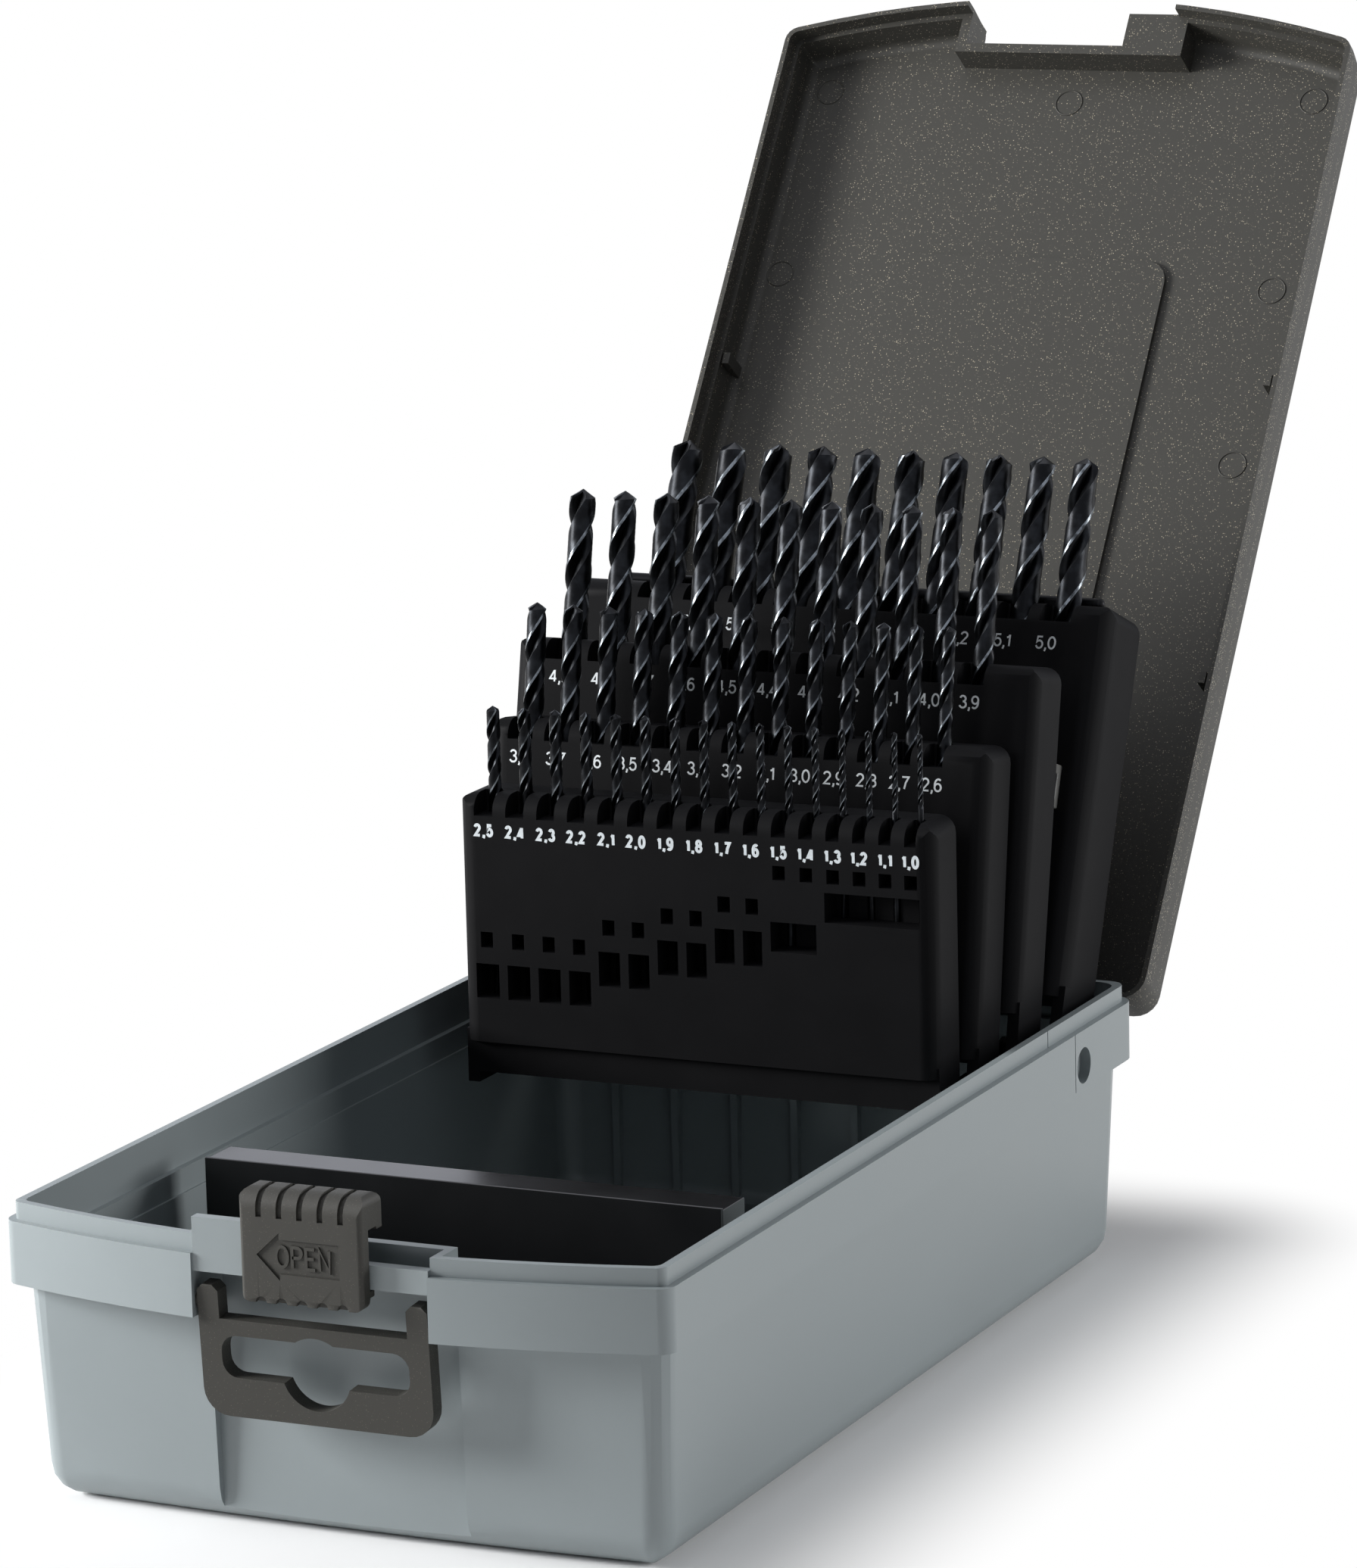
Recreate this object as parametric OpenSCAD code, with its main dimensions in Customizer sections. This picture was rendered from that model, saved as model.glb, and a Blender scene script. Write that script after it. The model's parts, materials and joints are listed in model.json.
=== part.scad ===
// Drill bit case with four racks that fan out as the lid opens, in millimetres.
// X runs across the case, Y from the latch to the hinge, Z up. The origin lies under the middle of the base.

/* [Case] */
// Width across the skirt
case_w = 120; // [112:1:130]
// Depth from the front corners to the back
case_d = 203.2; // [196:1:215]
// Height of the base up to the shoulder that the lid sits on
base_h = 48; // [47:0.5:54]
// Height of the closed lid above the shoulder
lid_h = 12; // [11.5:0.5:16]
// How far the front bows out at its middle
front_bow = 8.5; // [6:0.5:10]
// How far the front bows out below the skirt
body_bow = 2; // [1:0.5:4]
// Wall of the two shells
wall = 2; // [1.6:0.1:2.4]
// Radius of the upright corners at the back
corner_r = 4.5; // [3.5:0.5:8]
// Height of the lip inside the lid's rim
lip_h = 3; // [2:0.5:4]
// Angle that the lid stands open from closed
lid_open = 126; // [110:1:130]

/* [Skirt] */
// Height of the skirt round the base
skirt_h = 10.7; // [10:0.1:14]
// How far the skirt stands out from the wall
skirt_t = 1.9; // [1.4:0.1:2.4]
// Draft of the walls in degrees
draft = 2; // [0.5:0.5:3]
// Radius of the edge round the bottom
foot_r = 6; // [4:0.5:8]
// How far the lip stands in from the skirt
lip_in = 1.3; // [1.1:0.1:1.5]
// Thickness of the lip
lip_t = 1.4; // [1:0.1:1.8]

/* [Latch] */
// Width of the gap in the skirt
notch_w = 42.4; // [40:0.2:46]
// Height of the latch rail above the shoulder
rail_top = 6; // [5:0.5:7]
// Length of the latch slide
slide_l = 22; // [18:0.2:22]
// Thickness of the latch slide's face
slide_t = 2.4; // [2:0.1:3]
// How far the slide's face hangs below the shoulder
slide_drop = 6.2; // [5.5:0.1:6.4]
// Gap left for a part that slides
slip = 0.3; // [0.25:0.05:0.4]

/* [Hanger] */
// Width across the hanger's arms
hanger_w = 41.4; // [36:0.2:41.6]
// Length of the hanger below its studs
hanger_l = 19.1; // [17:0.1:24]
// Thickness of the hanger
hanger_t = 3; // [2.4:0.1:3.2]
// Diameter of the hanger's studs
stud_d = 2.6; // [2.2:0.1:3]

/* [Hinges] */
// Diameter of the lid's hinge pins
pin_d = 2.4; // [2:0.1:2.6]
// Diameter of the hinge knuckles
knuckle_d = 5.2; // [4.8:0.1:5.6]
// Width of one hinge
hinge_w = 24; // [18:1:30]
// Radial play of a pin in its bore
pin_play = 0.05; // [0.03:0.01:0.08]

/* [Racks] */
// Diameter of the axle that carries the racks
axle_d = 3; // [2.6:0.1:3.4]
// Half of the width of the front rack
rack_half_w = 46.4; // [46.2:0.1:46.6]
// How much wider each rack is than the one before it, on each side
rack_step = 2.7; // [2.6:0.05:2.75]
// Thickness of a rack's side arms
arm_t = 2.2; // [1.8:0.1:2.3]
// Gap between racks that lie folded
rack_gap = 0.3; // [0.2:0.05:0.4]
// Play of a drill in its socket, on each side
socket_play = 0.15; // [0.1:0.05:0.25]
// Diameter of the rod across the last rack
rod_d = 2.3; // [1.8:0.1:2.6]

/* [Hidden] */

tray_colour = "#8f979b";
shell_colour = "#4a4844";
rack_colour = "#222223";
steel_colour = "#c4c6c8";
drill_colour = "#2a2c33";

bore_fn = 48;
cut = 1;
half_w = case_w / 2;
front_y = -case_d / 2;
rear_y = case_d / 2;
skirt_z = base_h - skirt_h;
lip_z = base_h + lip_h;
wall_r = 6;
inner_in = skirt_t + wall;
floor_t = wall + 0.3;

// The outline of the case seen from above, stepped in all round, with its own bow and back corner radius
function arc(cx, cy, r, from, to, steps) =
    [for (i = [0:steps]) [cx + r * cos(from + (to - from) * i / steps),
        cy + r * sin(from + (to - from) * i / steps)]];
function outline(step_in, r, bow) =
    let (w = half_w - step_in, front_r = max(0.4, r - 1.5), post_x = w - r, front_x = w - front_r,
        bow_r = (half_w * half_w + bow * bow) / (2 * bow), bow_y = front_y - bow + bow_r,
        post_r = bow_r - step_in - front_r, turn = asin(front_x / post_r),
        back = rear_y - step_in - r, front = bow_y - post_r * cos(turn))
    concat(arc(post_x, back, r, 0, 90, 5), arc(-post_x, back, r, 90, 180, 5),
        arc(-front_x, front, front_r, 180, 270 - turn, 4),
        arc(0, bow_y, bow_r - step_in, 270 - turn, 270 + turn, 14),
        arc(front_x, front, front_r, 270 + turn, 360, 4));
module slab(step_in, r, low, high, bow = front_bow) {
    translate([0, 0, low]) linear_extrude(high - low) polygon(outline(step_in, r, bow));
}
// A drafted body with a rounded lower edge, from low up to high
module drafted_body(step_in, r, edge_r, low, high) {
    lean = (high - low) * tan(draft);
    sheet = 0.01;
    hull() {
        slab(step_in, r, high - sheet, high, body_bow);
        for (a = [0:22.5:90])
            slab(step_in + lean + edge_r * (1 - sin(a)), max(0.4, r - edge_r * (1 - sin(a))),
                low + edge_r * (1 - cos(a)), low + edge_r * (1 - cos(a)) + sheet, body_bow);
    }
}

// Base

axle_back = 26.4;
axle_drop = 6.5;
axle_y = rear_y - axle_back;
axle_z = base_h - axle_drop;
axle_l = case_w - 2 * skirt_t - 0.4;
axle_hole_d = 6.6;
hinge_y = rear_y + 0.9;
hinge_z = base_h - 1;
knuckle_gap = 0.3;
lid_knuckle_w = hinge_w / 3;
end_knuckle_w = (hinge_w - lid_knuckle_w) / 2 - knuckle_gap;
hinge_x = 0.3 * case_w;
recess_half = notch_w / 2 + 1.3;
recess_y = front_y + 2.8;
channel_y = front_y - 1;
rail_y = front_y - 6.9;
rail_t = 2;
rail_low = base_h - 3;
rail_split = 6;
shelf_t = 1.6;
hanger_y = front_y - 5.1;
hanger_z = base_h - 8.1;
stud_l = 2.4;
rim_step_z = base_h - 4.5;
rib_t = 1.4;
rib_pitch = 12.3;
rib_count = 8;
bar_y = front_y + 46;
bar_d = 9;
bar_half = 48;
bar_t = 1.8;
bar_top = base_h - 0.1;
bar_ridge = 0.7;
stop_r = 1.6;
stop_l = 2.8;

module base_wall() {
    difference() {
        union() {
            drafted_body(skirt_t, wall_r, foot_r, 0, skirt_z + cut);
            slab(0, corner_r, skirt_z, base_h);
            slab(lip_in, corner_r - lip_in, base_h - cut, lip_z);
        }
        difference() {
            union() {
                drafted_body(inner_in, wall_r - wall, foot_r - wall, floor_t, lip_z + cut);
                slab(inner_in, corner_r - wall, skirt_z + wall, lip_z + cut);
            }
            ahead(recess_half + wall, recess_y + wall, 0, rail_low);
            ahead(notch_w / 2 + stud_l + 0.8, channel_y + wall, skirt_z, lip_z + 2 * cut);
        }
        difference() {
            slab(lip_in + lip_t, corner_r - lip_in, rim_step_z, lip_z + cut);
            ahead(notch_w / 2 + lip_t, channel_y + wall, rim_step_z - cut, lip_z + 2 * cut);
        }
        ahead(recess_half, recess_y, -cut, skirt_z);
        ahead(notch_w / 2, recess_y, skirt_z - cut, rail_low - wall);
        ahead(notch_w / 2, channel_y, rail_low - wall - cut, lip_z + cut);
    }
}
// A block in front of the given plane, as wide as the latch's notch or the recess below it
module ahead(half, back, low, high) {
    translate([-half, front_y - 2 * front_bow, low])
        cube([2 * half, back - front_y + 2 * front_bow, high - low]);
}
module latch_rail() {
    web = 1.2;
    translate([-notch_w / 2 - web, rail_y, rail_low])
        cube([notch_w + 2 * web, channel_y - rail_y + web, shelf_t]);
    translate([-notch_w / 2 + slip / 2, rail_y, rail_low])
        cube([notch_w / 2 + rail_split - slip / 2, rail_t, base_h + rail_top - rail_low]);
    translate([-notch_w / 2, rail_y, rail_low]) cube([notch_w, rail_t, base_h + 1 - rail_low]);
    translate([-notch_w / 2 - web, rail_y, rail_low]) cube([notch_w + 2 * web, rail_t, base_h - rail_low]);
}
// Knuckles stand at both ends of each hinge on the base, and in its middle on the lid
module base_knuckle(x) {
    translate([x, hinge_y, hinge_z]) rotate([0, 90, 0])
        cylinder(d = knuckle_d, h = end_knuckle_w, $fn = bore_fn);
    translate([x, hinge_y - knuckle_d / 2, hinge_z - knuckle_d / 2])
        cube([end_knuckle_w, knuckle_d / 2, knuckle_d / 2]);
}
module lid_knuckle(x) {
    web_y = rear_y - lip_in + lid_gap;
    translate([x, hinge_y, hinge_z]) rotate([0, 90, 0])
        cylinder(d = knuckle_d, h = lid_knuckle_w, $fn = bore_fn);
    translate([x, web_y, hinge_z]) cube([lid_knuckle_w, hinge_y + knuckle_d / 2 - web_y, 2.4]);
    translate([x, web_y, hinge_z + 2]) cube([lid_knuckle_w, rear_y + 1.4 - web_y, 3]);
}
module knuckle_room(x, w) {
    translate([x - knuckle_gap, hinge_y, hinge_z]) rotate([0, 90, 0])
        cylinder(d = knuckle_d + 2 * knuckle_gap, h = w + 2 * knuckle_gap, $fn = bore_fn);
}
module pin_bore(x) {
    translate([x - hinge_w / 2 - cut, hinge_y, hinge_z]) rotate([0, 90, 0])
        cylinder(d = pin_d + 2 * pin_play, h = hinge_w + 2 * cut, $fn = bore_fn);
}
module base_tray() {
    color(tray_colour) difference() {
        union() {
            difference() {
                base_wall();
                for (x = [-hinge_x, hinge_x]) knuckle_room(x - lid_knuckle_w / 2, lid_knuckle_w);
            }
            latch_rail();
            for (x = [-hinge_x, hinge_x]) {
                base_knuckle(x - hinge_w / 2);
                base_knuckle(x + hinge_w / 2 - end_knuckle_w);
            }
            for (i = [0:rib_count - 1])
                translate([(i - (rib_count - 1) / 2) * rib_pitch - rib_t / 2, 0, 0]) rear_rib();
            for (side = [-1, 1]) {
                translate([side > 0 ? bar_half + slip / 2 : -bar_half - slip / 2 - rib_t, bar_y,
                    floor_t - 0.1])
                    cube([rib_t, bar_d, 8]);
                for (y = [8, 17])
                    translate([side * (half_w - lip_in - lip_t + 0.4), axle_y + y, base_h - 0.7])
                        rotate([0, -90 * side, 0]) cylinder(r = stop_r, h = stop_l, $fn = 32);
            }
        }
        for (x = [-hinge_x, hinge_x]) pin_bore(x);
        translate([-half_w - cut, axle_y, axle_z]) rotate([0, 90, 0])
            cylinder(d = axle_d + 2 * pin_play, h = case_w + 2 * cut, $fn = bore_fn);
        for (side = [-1, 1]) {
            translate([side * (half_w + cut), axle_y, axle_z]) rotate([0, -90 * side, 0])
                cylinder(d = axle_hole_d, h = skirt_t + cut, $fn = bore_fn);
            translate([side * (notch_w / 2 - cut), hanger_y, hanger_z]) rotate([0, 90 * side, 0])
                cylinder(d = stud_d + 2 * pin_play, h = stud_l + cut, $fn = bore_fn);
            seam_groove(side, rear_y - 40.6, base_h - cut, lip_z + cut, lip_in);
            seam_groove(side, rear_y - 30.6, skirt_z - cut, base_h + 0.01, 0);
        }
    }
}
// An upright rib inside the back wall, cut off below to stay inside the rounded foot
module rear_rib() {
    face = rear_y - inner_in - 3;
    root = rear_y - inner_in + 0.5;
    rotate([90, 0, 90]) linear_extrude(rib_t)
        polygon([[face, floor_t - 0.1], [face, base_h - 12], [root, base_h - 12], [root, foot_r + 0.5],
            [root - 2, floor_t - 0.1]]);
}
// A fine upright line where two slides of the mould met
module seam_groove(side, y, low, high, step_in) {
    seam = 0.3;
    translate([side * (half_w - step_in) - seam / 2, y, low]) cube([seam, seam, high - low]);
}

// Lid, made closed and then swung open

lid_gap = 0.3;
lid_top_t = wall;
rim_t = 1;
lid_low = base_h + lid_gap;
lid_top = base_h + lid_h;
lid_round = 1.6;
ledge_z = lip_z + lid_gap + 0.1;
lid_notch_w = notch_w + 1.6;
tab_top = rail_top - 0.1;
tab_x = slide_l / 2 + 0.35;
panel_half = half_w - 31;
panel_y = front_y + 45.4;
panel_l = 110;
panel_depth = 0.9;

module lid_shell() {
    difference() {
        hull() {
            slab(0, corner_r, lid_low, lid_low + 3);
            for (a = [0:30:90])
                slab(0.6 + lid_round * (1 - cos(a)), corner_r - lid_round * (1 - cos(a)),
                    lid_top - lid_round * (1 - sin(a)) - 0.01, lid_top - lid_round * (1 - sin(a)));
        }
        slab(rim_t, corner_r - rim_t, lid_low - cut, ledge_z);
        hull() {
            slab(wall + 0.1, corner_r - wall, ledge_z - cut, ledge_z);
            for (a = [0:30:90])
                slab(wall + 0.6 + 2 * (1 - cos(a)), max(0.4, corner_r - wall - 2 * (1 - cos(a))),
                    lid_top - lid_top_t - 2 * (1 - sin(a)) - 0.01, lid_top - lid_top_t - 2 * (1 - sin(a)));
        }
    }
}
module lid_notch_wall() {
    out = lid_notch_w / 2 + wall;
    intersection() {
        slab(0.4, corner_r, ledge_z, lid_top - 0.4);
        translate([-out, front_y - front_bow, 0]) cube([2 * out, front_bow + 0.5 + wall, 2 * base_h]);
    }
}
module closed_lid() {
    notch_front = front_y - 2 * front_bow;
    notch_back = front_y + 0.5;
    difference() {
        union() {
            lid_shell();
            lid_notch_wall();
            translate([-panel_half, panel_y, lid_top - lid_top_t - panel_depth])
                linear_extrude(lid_top_t) polygon(rounded_rect(2 * panel_half, panel_l, 4.5, 5));
            for (side = [-1, 1])
                for (y = [72, 135])
                    translate([side * (half_w - wall - 1.2) - 0.7, front_y + y, ledge_z])
                        cube([1.4, 2.4, lid_top - ledge_z - 1]);
            for (x = [-hinge_x, hinge_x]) lid_knuckle(x - lid_knuckle_w / 2);
        }
        translate([-lid_notch_w / 2, notch_front, 0])
            cube([lid_notch_w, notch_back - notch_front, 2 * base_h]);
        translate([-panel_half + wall, panel_y + wall, lid_top - panel_depth])
            linear_extrude(2 * panel_depth)
                polygon(rounded_rect(2 * (panel_half - wall), panel_l - 2 * wall, 2.5, 5));
        for (x = [-hinge_x, hinge_x]) {
            knuckle_room(x - hinge_w / 2, end_knuckle_w);
            knuckle_room(x + hinge_w / 2 - end_knuckle_w, end_knuckle_w);
            pin_bore(x);
        }
    }
    catch_tab();
}
// The catch tab slips under the latch slide's hook when the slide is pushed to the right
module catch_tab() {
    back = front_y + 0.5 + wall / 2;
    translate([tab_x, rail_y + 0.1, ledge_z])
        cube([lid_notch_w / 2 - tab_x + wall / 2, back - rail_y - 0.1, base_h + tab_top - ledge_z]);
}
module lid() {
    color(shell_colour) translate([0, hinge_y, hinge_z]) rotate([-lid_open, 0, 0])
        translate([0, -hinge_y, -hinge_z]) closed_lid();
}
function rounded_rect(w, d, r, steps) = concat(arc(w - r, d - r, r, 0, 90, steps),
    arc(r, d - r, r, 90, 180, steps),
    arc(r, r, r, 180, 270, steps), arc(w - r, r, r, 270, 360, steps));

module hinge_pin(x) {
    color(steel_colour) translate([x - hinge_w / 2, hinge_y, hinge_z]) rotate([0, 90, 0])
        cylinder(d = pin_d, h = hinge_w, $fn = bore_fn);
}
module hinge_pin_left() { hinge_pin(-hinge_x); }
module hinge_pin_right() { hinge_pin(hinge_x); }

// Latch slide: its hook reaches over the rail, its finger hangs behind the rail and its foot runs below it

slide_back = rail_y - slip;
slide_front = slide_back - slide_t;
slide_low = base_h - slide_drop;
hook_back = front_y - 2.5;
hook_low = base_h + tab_top + 2 * slip + 0.3;
hook_top = hook_low + 5.5;
hook_r = 3.2;
hook_back_r = 1.8;
curl = 0.5;
groove_d = 0.6;
groove_w = 1;
mark_d = 0.35;
module latch_slide() {
    finger_front = rail_y + rail_t + slip;
    rib_step = slide_l / 6;
    color(shell_colour) difference() {
        intersection() {
            union() {
                slide_slice(-slide_l / 2, slide_l,
                    concat([[slide_back, slide_low], [slide_back, rail_low - slip - 1],
                        [rail_y + 1.2, rail_low - slip - 1], [rail_y + 1.2, rail_low - slip],
                        [slide_back, rail_low - slip],
                        [slide_back, hook_low], [hook_back - 2, hook_low], [hook_back - 1.8, hook_low - curl],
                        [hook_back, hook_low - curl]],
                        arc(hook_back - hook_back_r, hook_top - hook_back_r, hook_back_r, 0, 90, 4),
                        arc(slide_front + hook_r, hook_top - hook_r, hook_r, 90, 180, 8),
                        [[slide_front, slide_low]]));
                translate([-slide_l / 2, finger_front, base_h + 2])
                    cube([slide_l / 2 - 1, 1.2, hook_low - base_h - 2 + 0.01]);
            }
            translate([-slide_l / 2, 0, slide_low]) rotate([90, 0, 0]) linear_extrude(case_d)
                polygon(rounded_rect(slide_l, hook_top - slide_low, 1.6, 4));
            translate([-slide_l / 2, slide_front, 0]) linear_extrude(lid_top + cut)
                polygon(rounded_rect(slide_l, 4 * slide_t, 0.9, 4));
        }
        for (i = [1:5]) {
            slide_slice(-slide_l / 2 + i * rib_step - groove_w / 2, groove_w,
                concat([[slide_front + groove_d, hook_top - hook_r - 1.2],
                    [slide_front - cut, hook_top - hook_r - 1.2],
                    [slide_front - cut, hook_top + cut], [hook_back - 1, hook_top + cut],
                    [hook_back - 1, hook_top - groove_d]],
                    arc(slide_front + hook_r, hook_top - hook_r, hook_r - groove_d, 90, 180, 6)));
            translate([-slide_l / 2 + i * rib_step, slide_front - cut, slide_low]) rotate([-90, 0, 0])
                cylinder(r = groove_w, h = cut + 0.9, $fn = 16);
        }
        translate([0, slide_front + mark_d, base_h]) rotate([90, 0, 0]) linear_extrude(mark_d + cut)
            polygon([[-7.9, 1.7], [-3.8, 5.5], [-3.8, 4.5], [6.9, 4.5], [6.9, -1.2], [-3.8, -1.2],
                [-3.8, -2.3]]);
    }
}
// A profile seen from the side, drawn out along X
module slide_slice(x, w, profile) {
    translate([x, 0, 0]) rotate([90, 0, 90]) linear_extrude(w) polygon(profile);
}

// Hanger, swung about two studs in the ends of the skirt

module hanger() {
    reach = hanger_w / 2;
    arm = 3.8;
    top = 3.1;
    bar_high = -2.5;
    bar_low = -5.2;
    shoulder = -hanger_l + 6.7;
    dip_r = 6.2;
    dip_rise = 2;
    foot = 4.5;
    lean = 4;
    color(shell_colour) translate([0, hanger_y, hanger_z]) {
        rotate([90 + lean, 0, 0]) translate([0, 0, -hanger_t / 2]) linear_extrude(hanger_t) difference() {
            polygon(concat([[-reach, top - 1], [-reach + 1, top], [-reach + arm - 1, top],
                [-reach + arm, top - 1], [-reach + arm, bar_high], [reach - arm, bar_high],
                [reach - arm, top - 1], [reach - arm + 1, top],
                [reach - 1, top], [reach, top - 1]], arc(reach - foot, -hanger_l + foot, foot, 360, 270, 6),
                arc(-reach + foot, -hanger_l + foot, foot, 270, 180, 6)));
            translate([-reach + arm, shoulder])
                polygon(rounded_rect(hanger_w - 2 * arm, bar_low - shoulder, 2.8, 5));
            translate([0, shoulder + dip_rise]) circle(r = dip_r, $fn = bore_fn);
        }
        for (side = [-1, 1]) rotate([0, 90 * side, 0]) translate([0, 0, reach - 1])
            cylinder(d = stud_d, h = notch_w / 2 + stud_l - 0.3 - reach + 1, $fn = bore_fn);
    }
}

// The bar that the drills' points lie behind when the racks are folded

module stop_bar() {
    color("#151516") difference() {
        union() {
            translate([-bar_half, bar_y, floor_t])
                cube([2 * bar_half, bar_d, bar_top - bar_ridge / 2 - floor_t]);
            translate([-bar_half, bar_y, floor_t]) cube([2 * bar_half, bar_ridge, bar_top - floor_t]);
        }
        translate([-bar_half + bar_t, bar_y + bar_t, floor_t - cut])
            cube([2 * (bar_half - bar_t), bar_d - 2 * bar_t, bar_top - floor_t - bar_t + cut]);
    }
}

// Racks: each is laid out with its front towards -Y and its height from the axle, and then leaned back

lean_back = [0, 8.4, 11.5, 22];
rack_t = [10.8, 10.9, 12.3, 16.2];
rack_top = [50.3, 57.5, 71, 84.5];
rack_low = [4.5, 2.2, 9, 12];
front_reach = 36.2;
function rack_front(k) = k == 0 ? front_reach : rack_back(k - 1) - rack_gap;
function rack_back(k) = rack_front(k) - rack_t[k];
function rack_w(k) = rack_half_w + k * rack_step;
drill_set_back = [5.2, 5.3, 5.7, 6];
point_h = [65.7, 78.5, 98.8, 112.5];
first_x = [-41.1, -42.8, -42.4, -36.7];
drill_apart = [3.8, 3.58, 3.75, 3.49];
biggest = [2.5, 3.8, 4.9, 5.9];
drill_count = [16, 13, 11, 10];
// Runs of sockets whose windows stand at one height
window_runs = [[4, 2, 2, 2, 2, 4], [1, 4, 3, 4, 1], [2, 5, 4], [6, 4]];
slot_below_top = 3.9;
window_h = 6.4;
peep_w = 2.4;
peep_h = 2.9;
peep_above = 3;

// Overall and flute length of a jobber drill, by the largest diameter that has them
jobber_lengths = [[1, 34, 12], [1.1, 36, 14], [1.3, 38, 16], [1.5, 40, 18], [1.7, 43, 20], [1.9, 46, 22],
    [2.1, 49, 24],
    [2.3, 53, 27], [2.6, 57, 30], [3, 61, 33], [3.3, 65, 36], [3.7, 70, 39], [4.2, 75, 43], [4.7, 80, 47],
    [5.3, 86, 52], [6, 93, 57]];
function jobber_row(d) = [for (row = jobber_lengths) if (row[0] > d - 0.05) row][0];
function drill_l(d) = jobber_row(d)[1];
function flute_l(d) = jobber_row(d)[2];
function size_at(k, i) = biggest[k] - 0.1 * i;
function drill_x(k, i) = i == 0 ? first_x[k]
    : drill_x(k, i - 1) + (size_at(k, i) + size_at(k, i - 1)) / 2 + drill_apart[k];
function drill_y(k) = -rack_front(k) + drill_set_back[k];
function seat_h(k, i) = point_h[k] - drill_l(size_at(k, i));
function sum_to(list, n) = n == 0 ? 0 : list[n - 1] + sum_to(list, n - 1);

module place_rack(k) {
    translate([0, axle_y, axle_z]) rotate([-lean_back[k], 0, 0]) children();
}
module rack_block(k) {
    w = rack_w(k);
    front = -rack_front(k);
    low = rack_low[k];
    edge_r = k == 3 ? 4.5 : 3.2;
    top_r = 3;
    tall = rack_top[k] - low;
    intersection() {
        translate([0, 0, low]) linear_extrude(tall)
            polygon(concat([[w, front + rack_t[k]], [-w, front + rack_t[k]]],
                arc(-w + edge_r, front + edge_r, edge_r, 180, 270, 6),
                arc(w - edge_r, front + edge_r, edge_r, 270, 360, 6)));
        translate([-w, 0, 0]) rotate([90, 0, 90]) linear_extrude(2 * w)
            polygon(concat([[front + rack_t[k], low], [front + rack_t[k], rack_top[k]]],
                arc(front + edge_r, rack_top[k] - edge_r, edge_r, 90, 180, 6), [[front, low]]));
        translate([0, front + rack_t[k], 0]) rotate([90, 0, 0]) linear_extrude(rack_t[k])
            polygon(concat([[-w, low], [w, low]], arc(w - top_r, rack_top[k] - top_r, top_r, 0, 90, 5),
                arc(-w + top_r, rack_top[k] - top_r, top_r, 90, 180, 5)));
    }
}
arm_high = 1.5;
arm_low = -3.5;
boss_r = 4;
module rack_arms(k) {
    front = -rack_front(k) + 1.5;
    back = -rack_back(k);
    up = rack_low[k] + 2;
    for (side = [-1, 1]) translate([side > 0 ? rack_w(k) - arm_t : -rack_w(k), 0, 0]) {
        rotate([90, 0, 90]) linear_extrude(arm_t) polygon(back > 0
            ? [[front, up], [back - 4, up], [boss_r, 0], [0, arm_low], [front, arm_low + 2]]
            : [[front, up], [back, up], [back, arm_high], [0, arm_high], [0, arm_low], [front, arm_low]]);
        rotate([0, 90, 0]) cylinder(r = boss_r, h = arm_t, $fn = bore_fn);
    }
    if (k == 0) translate([-rack_w(k), front, arm_low + 2]) cube([2 * rack_w(k), 3.7, up - arm_low - 2]);
}
// One socket, open at the top and, through a slot, to the front
module socket(k, i) {
    d = size_at(k, i);
    slot_w = d + 1.2;
    depth = drill_set_back[k] + cut;
    translate([drill_x(k, i), drill_y(k), seat_h(k, i)])
        cylinder(d = d + 2 * socket_play, h = rack_top[k], $fn = 24);
    translate([drill_x(k, i) - slot_w / 2, drill_y(k) - depth, rack_top[k] - slot_below_top])
        cube([slot_w, depth, rack_top[k]]);
}
// The window through which a run of shanks shows, with a small peep hole above each
module windows(k, run) {
    first = sum_to(window_runs[k], run);
    last = first + window_runs[k][run] - 1;
    joined = size_at(k, first) < 1.55;
    for (i = [first:last]) {
        d = size_at(k, i);
        w = joined && i < last ? drill_x(k, i + 1) - drill_x(k, i) + d + 2.1 : d + 2.1;
        sill = seat_h(k, last);
        tall = joined ? 5.4 : window_h;
        peep = joined ? seat_h(k, drill_count[k] - 1) + tall + 1.6 : sill + tall + peep_above;
        depth = drill_set_back[k] + cut;
        translate([drill_x(k, i) - (d + 2.1) / 2, drill_y(k) - depth, sill]) cube([w, depth, tall]);
        translate([drill_x(k, i) - peep_w / 2, drill_y(k) - depth, peep])
            cube([peep_w, depth, joined ? 2.6 : peep_h]);
    }
}
// Pockets moulded into the back of a rack, with ribs left between them
module back_pockets(k) {
    depth = rack_t[k] - drill_set_back[k] - biggest[k] / 2 - 1.2;
    count = 6;
    inner = rack_w(k) - arm_t;
    pitch = 2 * inner / count;
    tall = rack_top[k] - rack_low[k] - 2 * wall - 2;
    for (i = [0:count - 1])
        translate([-inner + i * pitch + (i == 0 ? 0 : 0.7), -rack_back(k) - depth, rack_low[k] + wall])
            cube([pitch - (i == 0 || i == count - 1 ? 0.7 : 1.4), depth + cut, tall]);
}

// Spreader links: curved tongues that hook each rack to the one in front and slide into its back as they fold
link_h = [0, 25, 33, 50];
link_tall = [0, 6, 6.5, 8];
link_t = 2;
link_play = 0.3;
link_hook = 2.2;
function link_x(k) = rack_w(k - 1) - arm_t - link_t - 0.6;
function link_turn(k) = lean_back[k] - lean_back[k - 1];
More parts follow.
